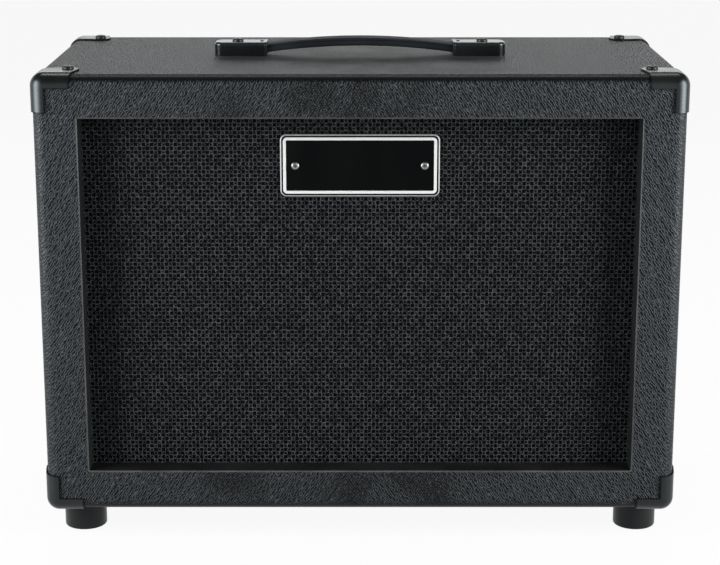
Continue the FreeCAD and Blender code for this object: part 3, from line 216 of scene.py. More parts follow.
def dress(piece, finish, replaced=(), body="cabinet"):
    """Gives a piece its finish and slot, says which solids it stands for, and what it rides on."""
    piece.data.materials.append(finish)
    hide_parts(*replaced)
    if body:
        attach(piece, body)


def rounded_rectangle(half_x, half_z, radius, centre, y):
    """Points of an upright rectangle with rounded corners, about a centre, at depth y."""
    points = []
    for turn, (side_x, side_z) in enumerate(((1, 1), (-1, 1), (-1, -1), (1, -1))):
        for step in range(CORNER_STEPS + 1):
            angle = QUARTER * (turn + step / CORNER_STEPS)
            x = side_x * (half_x - radius) + radius * math.cos(angle)
            z = side_z * (half_z - radius) + radius * math.sin(angle)
            points.append((centre.x + x, y, centre.z + z))
    return points


def circle(centre, radius, z, segments):
    """Points of a level circle."""
    turns = [2 * math.pi * step / segments for step in range(segments)]
    return [
        (centre[0] + radius * math.cos(turn), centre[1] + radius * math.sin(turn), z)
        for turn in turns
    ]


def arc_steps(steps):
    """Angles that divide a quarter turn evenly, both ends included."""
    return [QUARTER * step / steps for step in range(steps + 1)]


# Finishes: a cool tint for black gloss, and the range of a noise without its rare extremes
COOL = (0.84, 0.95, 1.0, 1.0)
NOISE_RANGE = (0.3, 0.7)

# A wave texture turns by this many radians over one unit
WAVE_RADIANS = 20.0

# Vinyl: its wrinkles, with painted shade in their creases and painted light on their tops, the side
# that they lean to, and its folds over the box's edges, lightened on upright ones as a painted
# highlight and left dark on level ones as painted shade
VINYL_SHADE_AND_LIGHT = (0.001, 0.09)
VINYL_WARMTH = -0.08
VINYL_GLOSS = 0.13
VINYL_ROUGH = (0.52, 0.38)
WRINKLE_PITCH = 1.9 * MM
WRINKLE_LONG = 1.6
WRINKLE_SWAY = 4.5
WRINKLE_BREAKS = 520.0
WRINKLE_DEEP = 0.3 * MM
WRINKLE_SLANT = math.radians(56)
WRINKLE_TILT = math.radians(35)
# Wrinkle heights over which the colour goes from painted shade to painted light, and the roughness
# changes
WRINKLE_LEVELS = (0.66, 1.0)
LEAN_SCALE = 25.0
LEAN_WANDER = 0.3
LEAN_TURN = (0.05, 0.25)
UPRIGHT_FADE = (0.1 * SHELL_ROUND, 1.5 * SHELL_ROUND)
LEVEL_FADE = (0.3 * SHELL_ROUND, 0.75 * SHELL_ROUND)
UPRIGHT_FOLD = 0.6
FOLD_GRAIN = 0.1
# Share by which upright folds are lightened, a painted highlight; level folds keep little of the
# grain's colour and stay dark, a painted shade
FOLD_PAINTED_HIGHLIGHT = 0.2
FOLD_SMOOTH = -0.12

# Yarn: heights above the weave's backing from painted shade in the gaps to painted light on the
# crests, specks and loose fibres
YARN_SHADE_AND_LIGHT = (0.001, 0.155)
YARN_WARMTH = -0.06
YARN_GLOSS = 0.03
YARN_ROUGH = (0.42, 0.62)
WEAVE_SHADE_HEIGHT, WEAVE_LIT_HEIGHT = 0.82 * MM, 1.0 * MM
SPECK_SCALE = 1100.0
SPECK_LEVELS = (0.3, 1.0)
FIBRE_SCALE = 2600.0
FIBRE_STRETCH = (1, 1, 0.3)
FIBRE_DEEP = 0.12 * MM

# Moulded plastic, wood, wire and metal
FLOW_SCALE = 30.0
FLOW_STRETCH = (1, 1, 0.4)
SPECKLE_SHARE = 0.5
MOULDING_RANGE = (0.5, 1.0)
MOULDING_SHADES = (0.7, 1.3)
MOULDING_ROUGH = 0.05
GRAIN_STRETCH = (6, 90, 90)
GRAIN_DETAIL = 5.0
GRAIN_DEEP = 0.15 * MM
PLY_SWAY = 0.6
PLY_SHARE = 0.25
WOOD_RANGE = (0.35, 0.9)
WOOD_ROUGH = (0.55, 0.75)
WOUND_ROUGH = (0.5, 0.3)
WOUND_DEEP = 0.1 * MM
METAL_SCALE = 700.0
METAL_SHADES = (0.85, 1.1)
METAL_ROUGH = (-0.06, 0.08)
METAL_DEEP = 0.02 * MM


def shader_node(tree, kind, inputs, **settings):
    """A node with its settings made, and its sockets given a value or a link."""
    made = tree.nodes.new("ShaderNode" + kind)
    for name, value in settings.items():
        setattr(made, name, value)
    for name, value in inputs.items():
        if isinstance(value, bpy.types.NodeSocket):
            tree.links.new(value, made.inputs[name])
        else:
            made.inputs[name].default_value = value
    return made


def blank_finish(name, **sockets):
    """A material with its tree, its shader and the place on the object that its textures read."""
    material = bpy.data.materials.new(name)
    material.use_nodes = True
    tree = material.node_tree
    shader = tree.nodes["Principled BSDF"]
    for socket, value in sockets.items():
        shader.inputs[socket.replace("_", " ")].default_value = value
    place = shader_node(tree, "TexCoord", {}).outputs["Object"]
    return material, tree, shader, place


def grey(level, warmth=0.0):
    """An opaque near-grey colour, warmer or cooler by a small share."""
    return (level * (1 + warmth), level, level * (1 - warmth), 1.0)


def noise(tree, place, scale, detail=3.0):
    """A noise texture's value, with features about one over scale metres wide."""
    inputs = {"Vector": place, "Scale": scale, "Detail": detail}
    return shader_node(tree, "TexNoise", inputs).outputs["Fac"]


def stretched(tree, place, factors):
    """The place scaled along each axis, so that a texture runs along the axis that is scaled least."""
    return shader_node(tree, "Mapping", {"Vector": place, "Scale": factors}).outputs["Vector"]


def remap(tree, value, low, high, to_low, to_high):
    """A value's range smoothly turned into another range."""
    inputs = {"Value": value, "From Min": low, "From Max": high, "To Min": to_low, "To Max": to_high}
    return shader_node(tree, "MapRange", inputs, interpolation_type="SMOOTHSTEP").outputs["Result"]


def tint(tree, factor, dark, light):
    """A colour between two colours."""
    return shader_node(tree, "Mix", {0: factor, 6: dark, 7: light}, data_type="RGBA").outputs[2]


def calculated(tree, operation, first, second):
    """The result of one operation on two values."""
    return shader_node(tree, "Math", {0: first, 1: second}, operation=operation).outputs[0]


def weighted_sum(tree, first, second, share):
    """First plus a share of second."""
    inputs = {0: second, 1: share, 2: first}
    return shader_node(tree, "Math", inputs, operation="MULTIPLY_ADD").outputs[0]


def vector_result(tree, operation, *vectors):
    """The result of one operation on one or two vectors."""
    inputs = dict(enumerate(vectors))
    return shader_node(tree, "VectorMath", inputs, operation=operation).outputs[0]


def relief(tree, shader, height, depth, strength=1.0):
    """Raises the shader's surface by a height texture, depth metres from lowest to highest."""
    inputs = {"Height": height, "Distance": depth, "Strength": strength}
    made = shader_node(tree, "Bump", inputs)
    tree.links.new(made.outputs["Normal"], shader.inputs["Normal"])


def wrinkled(tree, place, side):
    """Fine waves that slant across every face, swayed and broken up by noise into short wrinkles."""
    inputs = {
        "Vector": place,
        "Rotation": (WRINKLE_TILT, side * WRINKLE_SLANT, 0),
        "Scale": (WRINKLE_LONG, 1, 1),
    }
    leaning = shader_node(tree, "Mapping", inputs, vector_type="TEXTURE").outputs["Vector"]
    scale = 2 * math.pi / (WAVE_RADIANS * WRINKLE_PITCH * math.cos(WRINKLE_TILT))
    inputs = {
        "Vector": leaning,
        "Scale": scale,
        "Distortion": WRINKLE_SWAY,
        "Detail": 0.0,
        "Detail Scale": WRINKLE_BREAKS / scale,
    }
    return shader_node(tree, "TexWave", inputs, bands_direction="Z").outputs["Fac"]


def edge_nearness(tree, place):
    """Nearness to the box's rounded front and rear edges, from 0 to 1: upright ones, level ones. They
    smooth the folds and place the folds' painted highlight and painted shade.
    """
    offset = vector_result(tree, "SUBTRACT", place, SHELL_MIDDLE)
    spread = vector_result(tree, "ABSOLUTE", offset)
    inset = vector_result(tree, "SUBTRACT", SHELL_HALF, spread)
    insets = shader_node(tree, "SeparateXYZ", {"Vector": inset}).outputs
    near_x, near_y = (remap(tree, insets[axis], *UPRIGHT_FADE, 1.0, 0.0) for axis in "XY")
    near_z = remap(tree, insets["Z"], *LEVEL_FADE, 1.0, 0.0)
    upright = calculated(tree, "MULTIPLY", near_x, near_y)
    level = calculated(tree, "MULTIPLY", near_z, near_y)
    return upright, level


def grained_vinyl(name):
    """Black leather-grained vinyl: short wrinkles that lean two ways, with painted shade in their
    creases and painted light on their tops, stretched smooth on folds.
    """
    sockets = {"Specular_IOR_Level": VINYL_GLOSS, "Specular_Tint": COOL}
    material, tree, shader, place = blank_finish(name, **sockets)
    rising, falling = (wrinkled(tree, place, side) for side in (-1, 1))
    across = shader_node(tree, "SeparateXYZ", {"Vector": place}).outputs["X"]
    wander = weighted_sum(tree, across, noise(tree, place, LEAN_SCALE, 0.0), LEAN_WANDER)
    side = remap(tree, wander, *LEAN_TURN, 0.0, 1.0)
    wrinkles = shader_node(tree, "Mix", {0: side, 2: rising, 3: falling}).outputs[0]
    upright, level = edge_nearness(tree, place)
    # Folds: upright ones lightened as a painted highlight, level ones darkened as painted shade by
    # losing the grain's colour
    fold = weighted_sum(tree, level, upright, UPRIGHT_FOLD)
    kept = remap(tree, fold, 0.0, 1.0, 1.0, FOLD_GRAIN)
    relief(tree, shader, wrinkles, WRINKLE_DEEP, kept)
    # Colour follows the wrinkles' height: painted shade down in the creases, painted light up on the
    # tops
    painted_relief_shade = remap(tree, wrinkles, *WRINKLE_LEVELS, 0.0, 1.0)
    shown_painted_shade = calculated(tree, "MULTIPLY", painted_relief_shade, kept)
    factor = weighted_sum(tree, shown_painted_shade, upright, FOLD_PAINTED_HIGHLIGHT)
    dark, light = (grey(shade, VINYL_WARMTH) for shade in VINYL_SHADE_AND_LIGHT)
    tree.links.new(tint(tree, factor, dark, light), shader.inputs["Base Color"])
    rough = remap(tree, wrinkles, *WRINKLE_LEVELS, *VINYL_ROUGH)
    tree.links.new(weighted_sum(tree, rough, fold, FOLD_SMOOTH), shader.inputs["Roughness"])
    return material


def woven_yarn(name):
    """Black yarn with painted shade that darkens it into the gaps of its weave and painted light on
    its crests, specked, with loose fibres along it.
    """
    sockets = {"Specular_IOR_Level": YARN_GLOSS, "Specular_Tint": COOL}
    material, tree, shader, place = blank_finish(name, **sockets)
    fibres = noise(tree, stretched(tree, place, FIBRE_STRETCH), FIBRE_SCALE)
    # Colour follows the height above the backing: painted shade in the gaps, painted light on the
    # crests
    depth = shader_node(tree, "SeparateXYZ", {"Vector": place}).outputs["Y"]
    backing = CLOTH_LOW.y + WEAVE_FLOOR
    painted_relief_shade = remap(tree, depth, backing - WEAVE_SHADE_HEIGHT, backing - WEAVE_LIT_HEIGHT, 0.0, 1.0)
    specks = remap(tree, noise(tree, place, SPECK_SCALE), *NOISE_RANGE, *SPECK_LEVELS)
    factor = calculated(tree, "MULTIPLY", painted_relief_shade, specks)
    dark, light = (grey(shade, YARN_WARMTH) for shade in YARN_SHADE_AND_LIGHT)
    tree.links.new(tint(tree, factor, dark, light), shader.inputs["Base Color"])
    tree.links.new(remap(tree, fibres, *NOISE_RANGE, *YARN_ROUGH), shader.inputs["Roughness"])
    relief(tree, shader, fibres, FIBRE_DEEP)
    return material


def mottled(name, dark, light, scale, rough, depth, stretch=(1, 1, 1), **sockets):
    """A surface whose colour, roughness and relief follow one noise, stretched if asked."""
    material, tree, shader, place = blank_finish(name, **sockets)
    pattern = noise(tree, stretched(tree, place, stretch), scale)
    factor = remap(tree, pattern, *NOISE_RANGE, 0.0, 1.0)
    tree.links.new(tint(tree, factor, dark, light), shader.inputs["Base Color"])
    tree.links.new(remap(tree, pattern, *NOISE_RANGE, *rough), shader.inputs["Roughness"])
    relief(tree, shader, pattern, depth)
    return material


def moulding(name, level, rough, scale=900.0, depth=0.05 * MM, specular=0.3, warmth=0.0):
    """Black moulded plastic, paint or rubber with a fine sparked texture and faint flow marks."""
    sockets = {"Specular_IOR_Level": specular, "Specular_Tint": COOL}
    material, tree, shader, place = blank_finish(name, **sockets)
    speckle = noise(tree, place, scale)
    flow = noise(tree, stretched(tree, place, FLOW_STRETCH), FLOW_SCALE)
    pattern = weighted_sum(tree, flow, speckle, SPECKLE_SHARE)
    factor = remap(tree, pattern, *MOULDING_RANGE, 0.0, 1.0)
    dark, light = (grey(level * shade, warmth) for shade in MOULDING_SHADES)
    tree.links.new(tint(tree, factor, dark, light), shader.inputs["Base Color"])
    spread = (rough - MOULDING_ROUGH, rough + MOULDING_ROUGH)
    tree.links.new(remap(tree, flow, *NOISE_RANGE, *spread), shader.inputs["Roughness"])
    relief(tree, shader, speckle, depth)
    return material


def wood(name, dark, light, plies):
    """Wood with long grain along X and bands across Y, fine as ply lines or broad."""
    material, tree, shader, place = blank_finish(name)
    grain = noise(tree, stretched(tree, place, GRAIN_STRETCH), 1.0, GRAIN_DETAIL)
    inputs = {"Vector": place, "Scale": plies, "Distortion": PLY_SWAY}
    bands = shader_node(tree, "TexWave", inputs, bands_direction="Y").outputs["Fac"]
    pattern = weighted_sum(tree, grain, bands, PLY_SHARE)
    factor = remap(tree, pattern, *WOOD_RANGE, 0.0, 1.0)
    tree.links.new(tint(tree, factor, dark, light), shader.inputs["Base Color"])
    tree.links.new(remap(tree, grain, *NOISE_RANGE, *WOOD_ROUGH), shader.inputs["Roughness"])
    relief(tree, shader, grain, GRAIN_DEEP)
    return material


def wound(name, dark, light, turns, **sockets):
    """Fine turns side by side along Y, such as a coil of wire."""
    material, tree, shader, place = blank_finish(name, **sockets)
    inputs = {"Vector": place, "Scale": turns}
    bands = shader_node(tree, "TexWave", inputs, bands_direction="Y").outputs["Fac"]
    tree.links.new(tint(tree, bands, dark, light), shader.inputs["Base Color"])
    tree.links.new(remap(tree, bands, 0.0, 1.0, *WOUND_ROUGH), shader.inputs["Roughness"])
    relief(tree, shader, bands, WOUND_DEEP)
    return material


def metal(name, level, rough, warmth=0.0, stretch=(1, 1, 1)):
    """Bare or plated metal with faint working marks."""
    dark, light = (grey(level * shade, warmth) for shade in METAL_SHADES)
    spread = [rough + change for change in METAL_ROUGH]
    return mottled(name, dark, light, METAL_SCALE, spread, METAL_DEEP, stretch, Metallic=1.0)


# The finish of each slot, with numbers in the order that its function takes them
FINISHES = {
    "black_vinyl": grained_vinyl("grained_vinyl"),
    "plywood": wood("birch_plywood", (0.36, 0.22, 0.11, 1), (0.62, 0.44, 0.25, 1), 110.0),
    "pine_batten": wood("pine_batten", (0.42, 0.26, 0.12, 1), (0.68, 0.49, 0.28, 1), 20.0),
    "grille_weave": woven_yarn("woven_yarn"),
    "badge_black": moulding("badge_enamel", 0.002, 0.25, 500.0, 0.01 * MM, 0.05),
    "badge_silver": mottled(
        "badge_white", grey(0.82), grey(0.92), 900.0, (0.35, 0.5), 0.02 * MM
    ),
    "black_moulding": moulding("corner_plastic", 0.005, 0.3, specular=0.36),
    "handle_moulding": moulding("strap_vinyl", 0.02, 0.6, 1400.0, specular=0.06, warmth=-0.12),
    "foot_rubber": moulding("foot_rubber", 0.013, 0.36, specular=0.18),
    "black_screw": mottled(
        "black_screw", grey(0.01), grey(0.022), 800.0, (0.3, 0.45), 0.02 * MM, Metallic=0.6
    ),
    "bright_screw": metal("bright_screw", 0.6, 0.25),
    "zinc_screw": metal("zinc_screw", 0.5, 0.38, 0.04),
    "spring_steel": metal("spring_steel", 0.42, 0.32, stretch=(0.05, 1, 1)),
    "plate_black": moulding("plate_paint", 0.014, 0.5, 1200.0),
    "jack_nickel": metal("jack_nickel", 0.62, 0.22, 0.03),
    "insulator": mottled(
        "phenolic", (0.07, 0.03, 0.015, 1), (0.14, 0.065, 0.03, 1), 600.0, (0.45, 0.6), 0.03 * MM
    ),
    "basket_steel": moulding("basket_paint", 0.03, 0.42, 1000.0),
    "paper_cone": mottled(
        "paper_cone", grey(0.016, 0.05), grey(0.034, 0.05), 500.0, (0.75, 0.9), 0.12 * MM
    ),
    "felt_gasket": mottled("felt", grey(0.025), grey(0.055), 1500.0, (0.85, 0.95), 0.2 * MM),
    "treated_cloth": mottled(
        "treated_cloth", (0.12, 0.075, 0.03, 1), (0.24, 0.16, 0.07, 1), 900.0, (0.5, 0.75), 0.1 * MM
    ),
    "coil_copper": wound(
        "coil_copper", (0.4, 0.13, 0.05, 1), (0.85, 0.36, 0.16, 1), 1100.0, Metallic=1.0
    ),
    "ferrite": mottled("ferrite", grey(0.02), grey(0.045), 350.0, (0.6, 0.8), 0.08 * MM),
    "tinned": metal("tinned", 0.6, 0.35, 0.03),
    "wire_black": moulding("wire_sheath", 0.012, 0.45, 700.0),
}

# Finishes of single pieces and of parts of a piece
# The openings' rounded edges, paler than the vinyl as a painted highlight
OPENING_EDGE_HIGHLIGHT = moulding("opening_edge_painted_highlight", 0.08, 0.3, 900.0, 0.1 * MM, 0.25)
STEEL_SCREW = metal("steel_screw", 0.22, 0.36, 0.01)
# Near-black colour for the screws' cross recesses, a painted shade
RECESS_PAINTED_SHADE = mottled("screw_recess_painted_shade", grey(0.004), grey(0.01), 800.0, (0.6, 0.75), 0.02 * MM)
# Light grey on the badge plate's bevelled rim, a painted highlight along it
BADGE_RIM_HIGHLIGHT = mottled(
    "badge_rim_painted_highlight", grey(0.34), grey(0.44), 900.0, (0.35, 0.5), 0.02 * MM, Metallic=0.3
)
# A darker finish for the covering's faces inside the reveals
REVEAL_DARK = moulding("reveal_dark", 0.008, 0.6, 900.0, 0.1 * MM, 0.14)
# Dark matt roundings on the corner mouldings' edges, a painted shade
RIM_PAINTED_SHADE = moulding("moulded_rim", 0.003, 0.6, specular=0.06)
CAP_GLOSS = moulding("cap_plastic", 0.004, 0.2, 300.0, 0.015 * MM, 0.5, -0.12)


def finish_solids():
    """Gives every solid the finish of its slot."""
    for solid in nodes.values():
        slot = solid.data.materials[0].name
        solid.data.materials[0] = FINISHES[slot]


# Pieces


def opening_edge(opening, face, inward):
    """Half width, half height, corner radius and depth of rows from an opening out to a face."""
    half_x, half_z = opening
    rows = []
    for angle in arc_steps(EDGE_STEPS):
        grow = OPENING_ROUND * (1 - math.cos(angle))
        depth = OPENING_ROUND * (1 - math.sin(angle))
        rows.append((half_x + grow, half_z + grow, OPENING_CORNER + grow, face + inward * depth))
    return rows


def shell_rim(face, inward):
    """Half width, half height, corner radius and depth of rows from a face round to the sides."""
    rows = []
    for angle in arc_steps(CORNER_STEPS):
        grow = SHELL_ROUND * math.sin(angle)
        depth = SHELL_ROUND * (1 - math.cos(angle))
        half_x = SHELL_HALF.x - SHELL_ROUND + grow
        half_z = SHELL_HALF.z - SHELL_ROUND + grow
        rows.append((half_x, half_z, grow, face + inward * depth))
    return rows


def covering():
    """The vinyl over the box, from the front opening over every outer face into the rear opening."""
    front, rear = SHELL_LOW.y, SHELL_HIGH.y
    loops = [(*FRONT_OPENING, OPENING_CORNER, CLOTH_LOW.y)]
    loops += opening_edge(FRONT_OPENING, front, 1)
    loops += shell_rim(front, 1)
    loops += reversed(shell_rim(rear, -1))
    loops += reversed(opening_edge(REAR_OPENING, rear, -1))
    loops.append((*REAR_OPENING, OPENING_CORNER, BACK_FACE))
    rows = [rounded_rectangle(x, z, radius, SHELL_MIDDLE, y) for x, z, radius, y in loops]
    piece = lofted("covering_vinyl", rows)
    backing = piece.modifiers.new("thickness", "SOLIDIFY")
    backing.thickness = VINYL_THICK
    backing.offset = -1
    flatten(piece)
    dress(piece, FINISHES["black_vinyl"], ["shell_covering"])
    piece.data.materials.append(REVEAL_DARK)
    piece.data.materials.append(OPENING_EDGE_HIGHLIGHT)
    # Faces sort into grained vinyl, the darker reveal finish and the openings' painted highlight
    for face in piece.data.polygons:
        face.material_index = covering_part(face.center - SHELL_MIDDLE)


def covering_part(place):
    """The covering's material at a place from its middle: 0 grained, 1 in a reveal, 2 on an opening's
    rounded edge, lighter there as a painted highlight.
    """
    x, z = abs(place.x), abs(place.z)
    depth = SHELL_HALF.y - abs(place.y)
    opening_x, opening_z = FRONT_OPENING if place.y < 0 else REAR_OPENING
    if x > opening_x + OPENING_ROUND or z > opening_z + OPENING_ROUND or depth < WELD:
        return 0
    return 2 if depth < OPENING_ROUND else 1


def yarn_places(half, steps):
    """Places across the cloth from its middle, counted in yarns, with the same steps on every yarn."""
    yarns = math.ceil((half + WEAVE_MARGIN) / YARN_PITCH)
    return np.add.outer(np.arange(-yarns, yarns), steps).ravel()


def weave_height(across, along):
    """Height of the weave above its backing, in metres, at places counted in yarns.

    The yarns stand as ridges, the level ones a little lower. Every second mesh between them is a deep
    hole and the others are dimples.
    """
    random = np.random.default_rng(WEAVE_SEED)
    thickness = 1 + YARN_UNEVEN * random.uniform(-1, 1, (across.size, along.size))
    swing = np.outer(np.sin(math.pi * across), np.sin(math.pi * along))
    sunk = WEAVE_DIMPLE * np.maximum(swing, 0) + WEAVE_HOLE * np.maximum(-swing, 0)
    lower = WEFT_LOWER * np.abs(np.cos(math.pi * along))
    return (WEAVE_RIDGE - sunk - lower) * thickness


def weave_faces(height):
    """Four-sided faces over a grid of heights, each turned to split through its lowest corner."""
    index = np.arange(height.size).reshape(height.shape)
    corner = np.stack((index[:-1, :-1], index[1:, :-1], index[1:, 1:], index[:-1, 1:]), axis=-1)
    tops = height.ravel()[corner]
    turned = np.minimum(tops[..., 1], tops[..., 3]) < np.minimum(tops[..., 0], tops[..., 2])
    return np.where(turned[..., None], np.roll(corner, -1, axis=-1), corner).reshape(-1, 4)


def weave_border(height):
    """Indices of the points on the border of a grid of heights, once round it."""
    index = np.arange(height.size).reshape(height.shape)
    return np.concatenate((index[:-1, 0], index[-1, :-1], index[:0:-1, -1], index[0, :0:-1]))


def grille():
    """The woven cloth, stretched over the baffle and turned round its edges."""
    half_x = (CLOTH_HIGH.x - CLOTH_LOW.x) / 2
    half_z = (CLOTH_HIGH.z - CLOTH_LOW.z) / 2
    middle = (CLOTH_LOW + CLOTH_HIGH) / 2
    across = yarn_places(FRONT_OPENING[0], WARP_PLACES)
    along = yarn_places(FRONT_OPENING[1], WEFT_PLACES)
    height = np.pad(weave_height(across, along), 1)
    edge_x, edge_z = half_x / YARN_PITCH, half_z / YARN_PITCH
    x, z = np.meshgrid(
        np.concatenate(([-edge_x], across, [edge_x])) * YARN_PITCH,
        np.concatenate(([-edge_z], along, [edge_z])) * YARN_PITCH,
        indexing="ij",
    )
    y = CLOTH_LOW.y + WEAVE_FLOOR - height
    front = np.stack((middle.x + x, y, middle.z + z), axis=-1).reshape(-1, 3)
    wrap = CLOTH_HIGH.y - CLOTH_LOW.y - WEAVE_FLOOR
    border = weave_border(height)
    rim = len(front) + np.arange(border.size)
    turned_back = np.stack((np.roll(border, -1), border, rim, np.roll(rim, -1)), axis=-1)
    points = np.concatenate((front, front[border] + (0, wrap, 0)))
    faces = np.concatenate((weave_faces(height), turned_back))
    mesh = bpy.data.meshes.new("grille_weave")
    mesh.from_pydata(points.tolist(), [], faces.tolist())
    piece = place_object("grille_weave", mesh)
    dress(piece, FINISHES["grille_weave"], ["grille_cloth"])


def corners():
    """The eight corner mouldings, with darker matt roundings along their edges as painted shade."""
    for node in sorted(nodes):
        if node.startswith("corner_") and node != "corner_screws":
            piece = softened(node, node + "_moulding", MOULDING_EDGE)
            dress(piece, FINISHES["black_moulding"], [node])
            piece.data.materials.append(RIM_PAINTED_SHADE)
            piece.modifiers["rounded edges"].material = 1


def foot_profile(bottom, top):
    """Radius and height of a foot's rings, from its recess round its tread and over its top."""
    seat = bottom + RECESS_DEPTH
    profile = [
        (RECESS_RADIUS, seat),
        (RECESS_RADIUS, bottom + RECESS_CHAMFER),
        (RECESS_RADIUS + RECESS_CHAMFER, bottom),
    ]
    for angle in arc_steps(EDGE_STEPS):
        radius = FOOT_RADIUS - TREAD_ROUND + TREAD_ROUND * math.sin(angle)
        profile.append((radius, bottom + TREAD_ROUND * (1 - math.cos(angle))))
    profile += [
        (FOOT_RADIUS, top - FOOT_CHAMFER),
        (FOOT_RADIUS - FOOT_CHAMFER, top),
        (FOOT_HOLE, top),
        (FOOT_HOLE, seat),
        (RECESS_RADIUS, seat),
    ]
    return profile


def feet():
    """Four turned rubber feet, each with a rounded tread and the recess that its screw sits in."""
    low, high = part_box("rubber_feet")
    profile = foot_profile(low.z, high.z)
    for side, x in (("left", low.x + FOOT_RADIUS), ("right", high.x - FOOT_RADIUS)):
        for end, y in (("front", low.y + FOOT_RADIUS), ("rear", high.y - FOOT_RADIUS)):
            rows = [circle((x, y), radius, z, FOOT_SEGMENTS) for radius, z in profile]
            piece = lofted("foot_{}_{}".format(end, side), rows)
            dress(piece, FINISHES["foot_rubber"], ["rubber_feet"])


def strap_profile():
    """The strap's section about its own middle: rounded edges, and a groove below the bead on top."""
    half_y = (GRIP_HIGH.y - GRIP_LOW.y) / 2
    half_z = GRIP_THICK / 2
    right = []
    for angle in arc_steps(EDGE_STEPS):
        y = half_y - GRIP_ROUND * (1 - math.sin(angle))
        z = -half_z + GRIP_ROUND * (1 - math.cos(angle))
        right.append((y, z))
    groove = half_z - GRIP_ROUND - GROOVE_BELOW
    for z, share in GROOVE_SHAPE:
        right.append((half_y - GROOVE_DEEP * share, groove + z))
    for angle in arc_steps(EDGE_STEPS)[1:]:
        y = half_y - GRIP_ROUND * (1 - math.cos(angle))
        z = half_z - GRIP_ROUND * (1 - math.sin(angle))
        right.append((y, z))
    left = [(-y, z) for y, z in reversed(right)]
    return right + left


def arch_rows(profile, reach, side):
    """A section repeated along one half of the handle's arch, from its end at reach to the middle."""
    top = GRIP_HIGH.z - GRIP_THICK / 2 - GRIP_ARCH
    rows = []
    for step in range(STRAP_STEPS + 1):
        x = reach * (1 - step / STRAP_STEPS)
        slope = math.asin(x / GRIP_ARCH)
        row = []
        for y, z in profile:
            radius = GRIP_ARCH + z
            row.append((side * radius * math.sin(slope), y, top + radius * math.cos(slope)))
        rows.append(row)
    return rows


def strap():
    """The strap and the steel band in it, each in two halves that bend from its cap to the middle."""
    band_half = (BAND_HIGH.y - BAND_LOW.y) / 2
    thin = BAND_THICK / 2
    band = [(-band_half, -thin), (band_half, -thin), (band_half, thin), (-band_half, thin)]
    parts = (
        ("strap", strap_profile(), GRIP_HIGH.x, "handle_moulding", "handle_grip"),
        ("spring_band", band, BAND_HIGH.x, "spring_steel", "handle_spring_band"),
    )
    for name, profile, reach, slot, node in parts:
        for side, word in SIDES:
            piece = lofted(name + "_" + word, arch_rows(profile, reach, side), capped=True)
            flatten(piece)
            dress(piece, FINISHES[slot], [node], body=None)
            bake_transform(piece)


def cap_outline(half, bottom, top, radius):
    """Points over a cap's section, from one foot of it across its rounded top to the other."""
    right = []
    for angle in arc_steps(CAP_STEPS):
        inward, down = radius * (1 - math.cos(angle)), radius * (1 - math.sin(angle))
        right.append((half - inward, top - down))
    left = [(-y, z) for y, z in reversed(right)]
    return [(half, bottom)] + right + left + [(-half, bottom)]


def collar_rows(side, mouth, bottom, half, top):
    """Sections of the collar at a cap's mouth, from one foot of it over the top to the other."""
    proud, sunk = COLLAR_PROUD, COLLAR_SUNK
    outer = cap_outline(half + proud, bottom, top + proud, CAP_TOP_ROUND + proud)
    inner = cap_outline(half - sunk, bottom, top - sunk, CAP_TOP_ROUND - sunk)
    near, far = side * (mouth - proud), side * (mouth + COLLAR_WIDE)
    rows = []
    for (outer_y, outer_z), (inner_y, inner_z) in zip(outer, inner):
        outside = [(near, outer_y, outer_z), (far, outer_y, outer_z)]
        inside = [(far, inner_y, inner_z), (near, inner_y, inner_z)]
        rows.append(outside + inside)
    return rows


def handle_caps():
    """The handle's two glossy end caps, each with a collar at its mouth and a rivet on top."""
    for side, word in SIDES:
        node = "handle_cap_" + word
        low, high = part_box(node)
        cap = softened(node, "cap_" + word, CAP_EDGE, CAP_STEPS)
        dress(cap, CAP_GLOSS, [node])
        mouth = min(abs(low.x), abs(high.x))
        rows = collar_rows(side, mouth, low.z, high.y, high.z)
        collar = lofted("cap_collar_" + word, rows, capped=True)
        round_edges(collar, COLLAR_EDGE)
        dress(collar, CAP_GLOSS)
        centre = (side * (mouth + RIVET_INSET), 0)
        rows = [circle(centre, radius, high.z + z, RIVET_SEGMENTS) for radius, z in RIVET_RINGS]
        rivet = lofted("cap_rivet_" + word, rows, capped=True)
        dress(rivet, FINISHES["black_screw"])


def badge_field(low, high):
    """The badge's black plate, with its bevelled rim painted light grey as a painted highlight."""
    middle = (low + high) / 2
    half = (high - low) / 2
    steps = ((0, high.y), (0, low.y + BEVEL_DEEP), (BEVEL_WIDE, low.y))
    rows = [
        rounded_rectangle(half.x - inset, half.z - inset, BADGE_CORNER - inset, middle, y)
        for inset, y in steps
    ]
    plate = lofted("badge_field", rows, capped=True)
    dress(plate, FINISHES["badge_black"], ["badge_plate"])
    plate.data.materials.append(BADGE_RIM_HIGHLIGHT)
    for face in plate.data.polygons:
        face.material_index = 0 if face.center.y < low.y + WELD else 1


def badge_line(low, high):
    """The white line that runs round inside the badge's rim."""
    middle = (low + high) / 2
    half = (high - low) / 2
    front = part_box("badge_border")[0].y
    section = (
        (LINE_OUTSIDE, LINE_OUTER_CORNER, low.y),
        (LINE_OUTSIDE, LINE_OUTER_CORNER, front + LINE_SOFT),
        (LINE_OUTSIDE + LINE_SOFT, LINE_OUTER_CORNER - LINE_SOFT, front),
        (LINE_INSIDE - LINE_SOFT, LINE_INNER_CORNER + LINE_SOFT, front),
        (LINE_INSIDE, LINE_INNER_CORNER, front + LINE_SOFT),
        (LINE_INSIDE, LINE_INNER_CORNER, low.y),
    )
    rows = [
        rounded_rectangle(half.x - inset, half.z - inset, radius, middle, y)
        for inset, radius, y in section
    ]
    line = lofted("badge_line", rows + rows[:1])
    flatten(line)
    dress(line, FINISHES["badge_silver"], ["badge_border"])


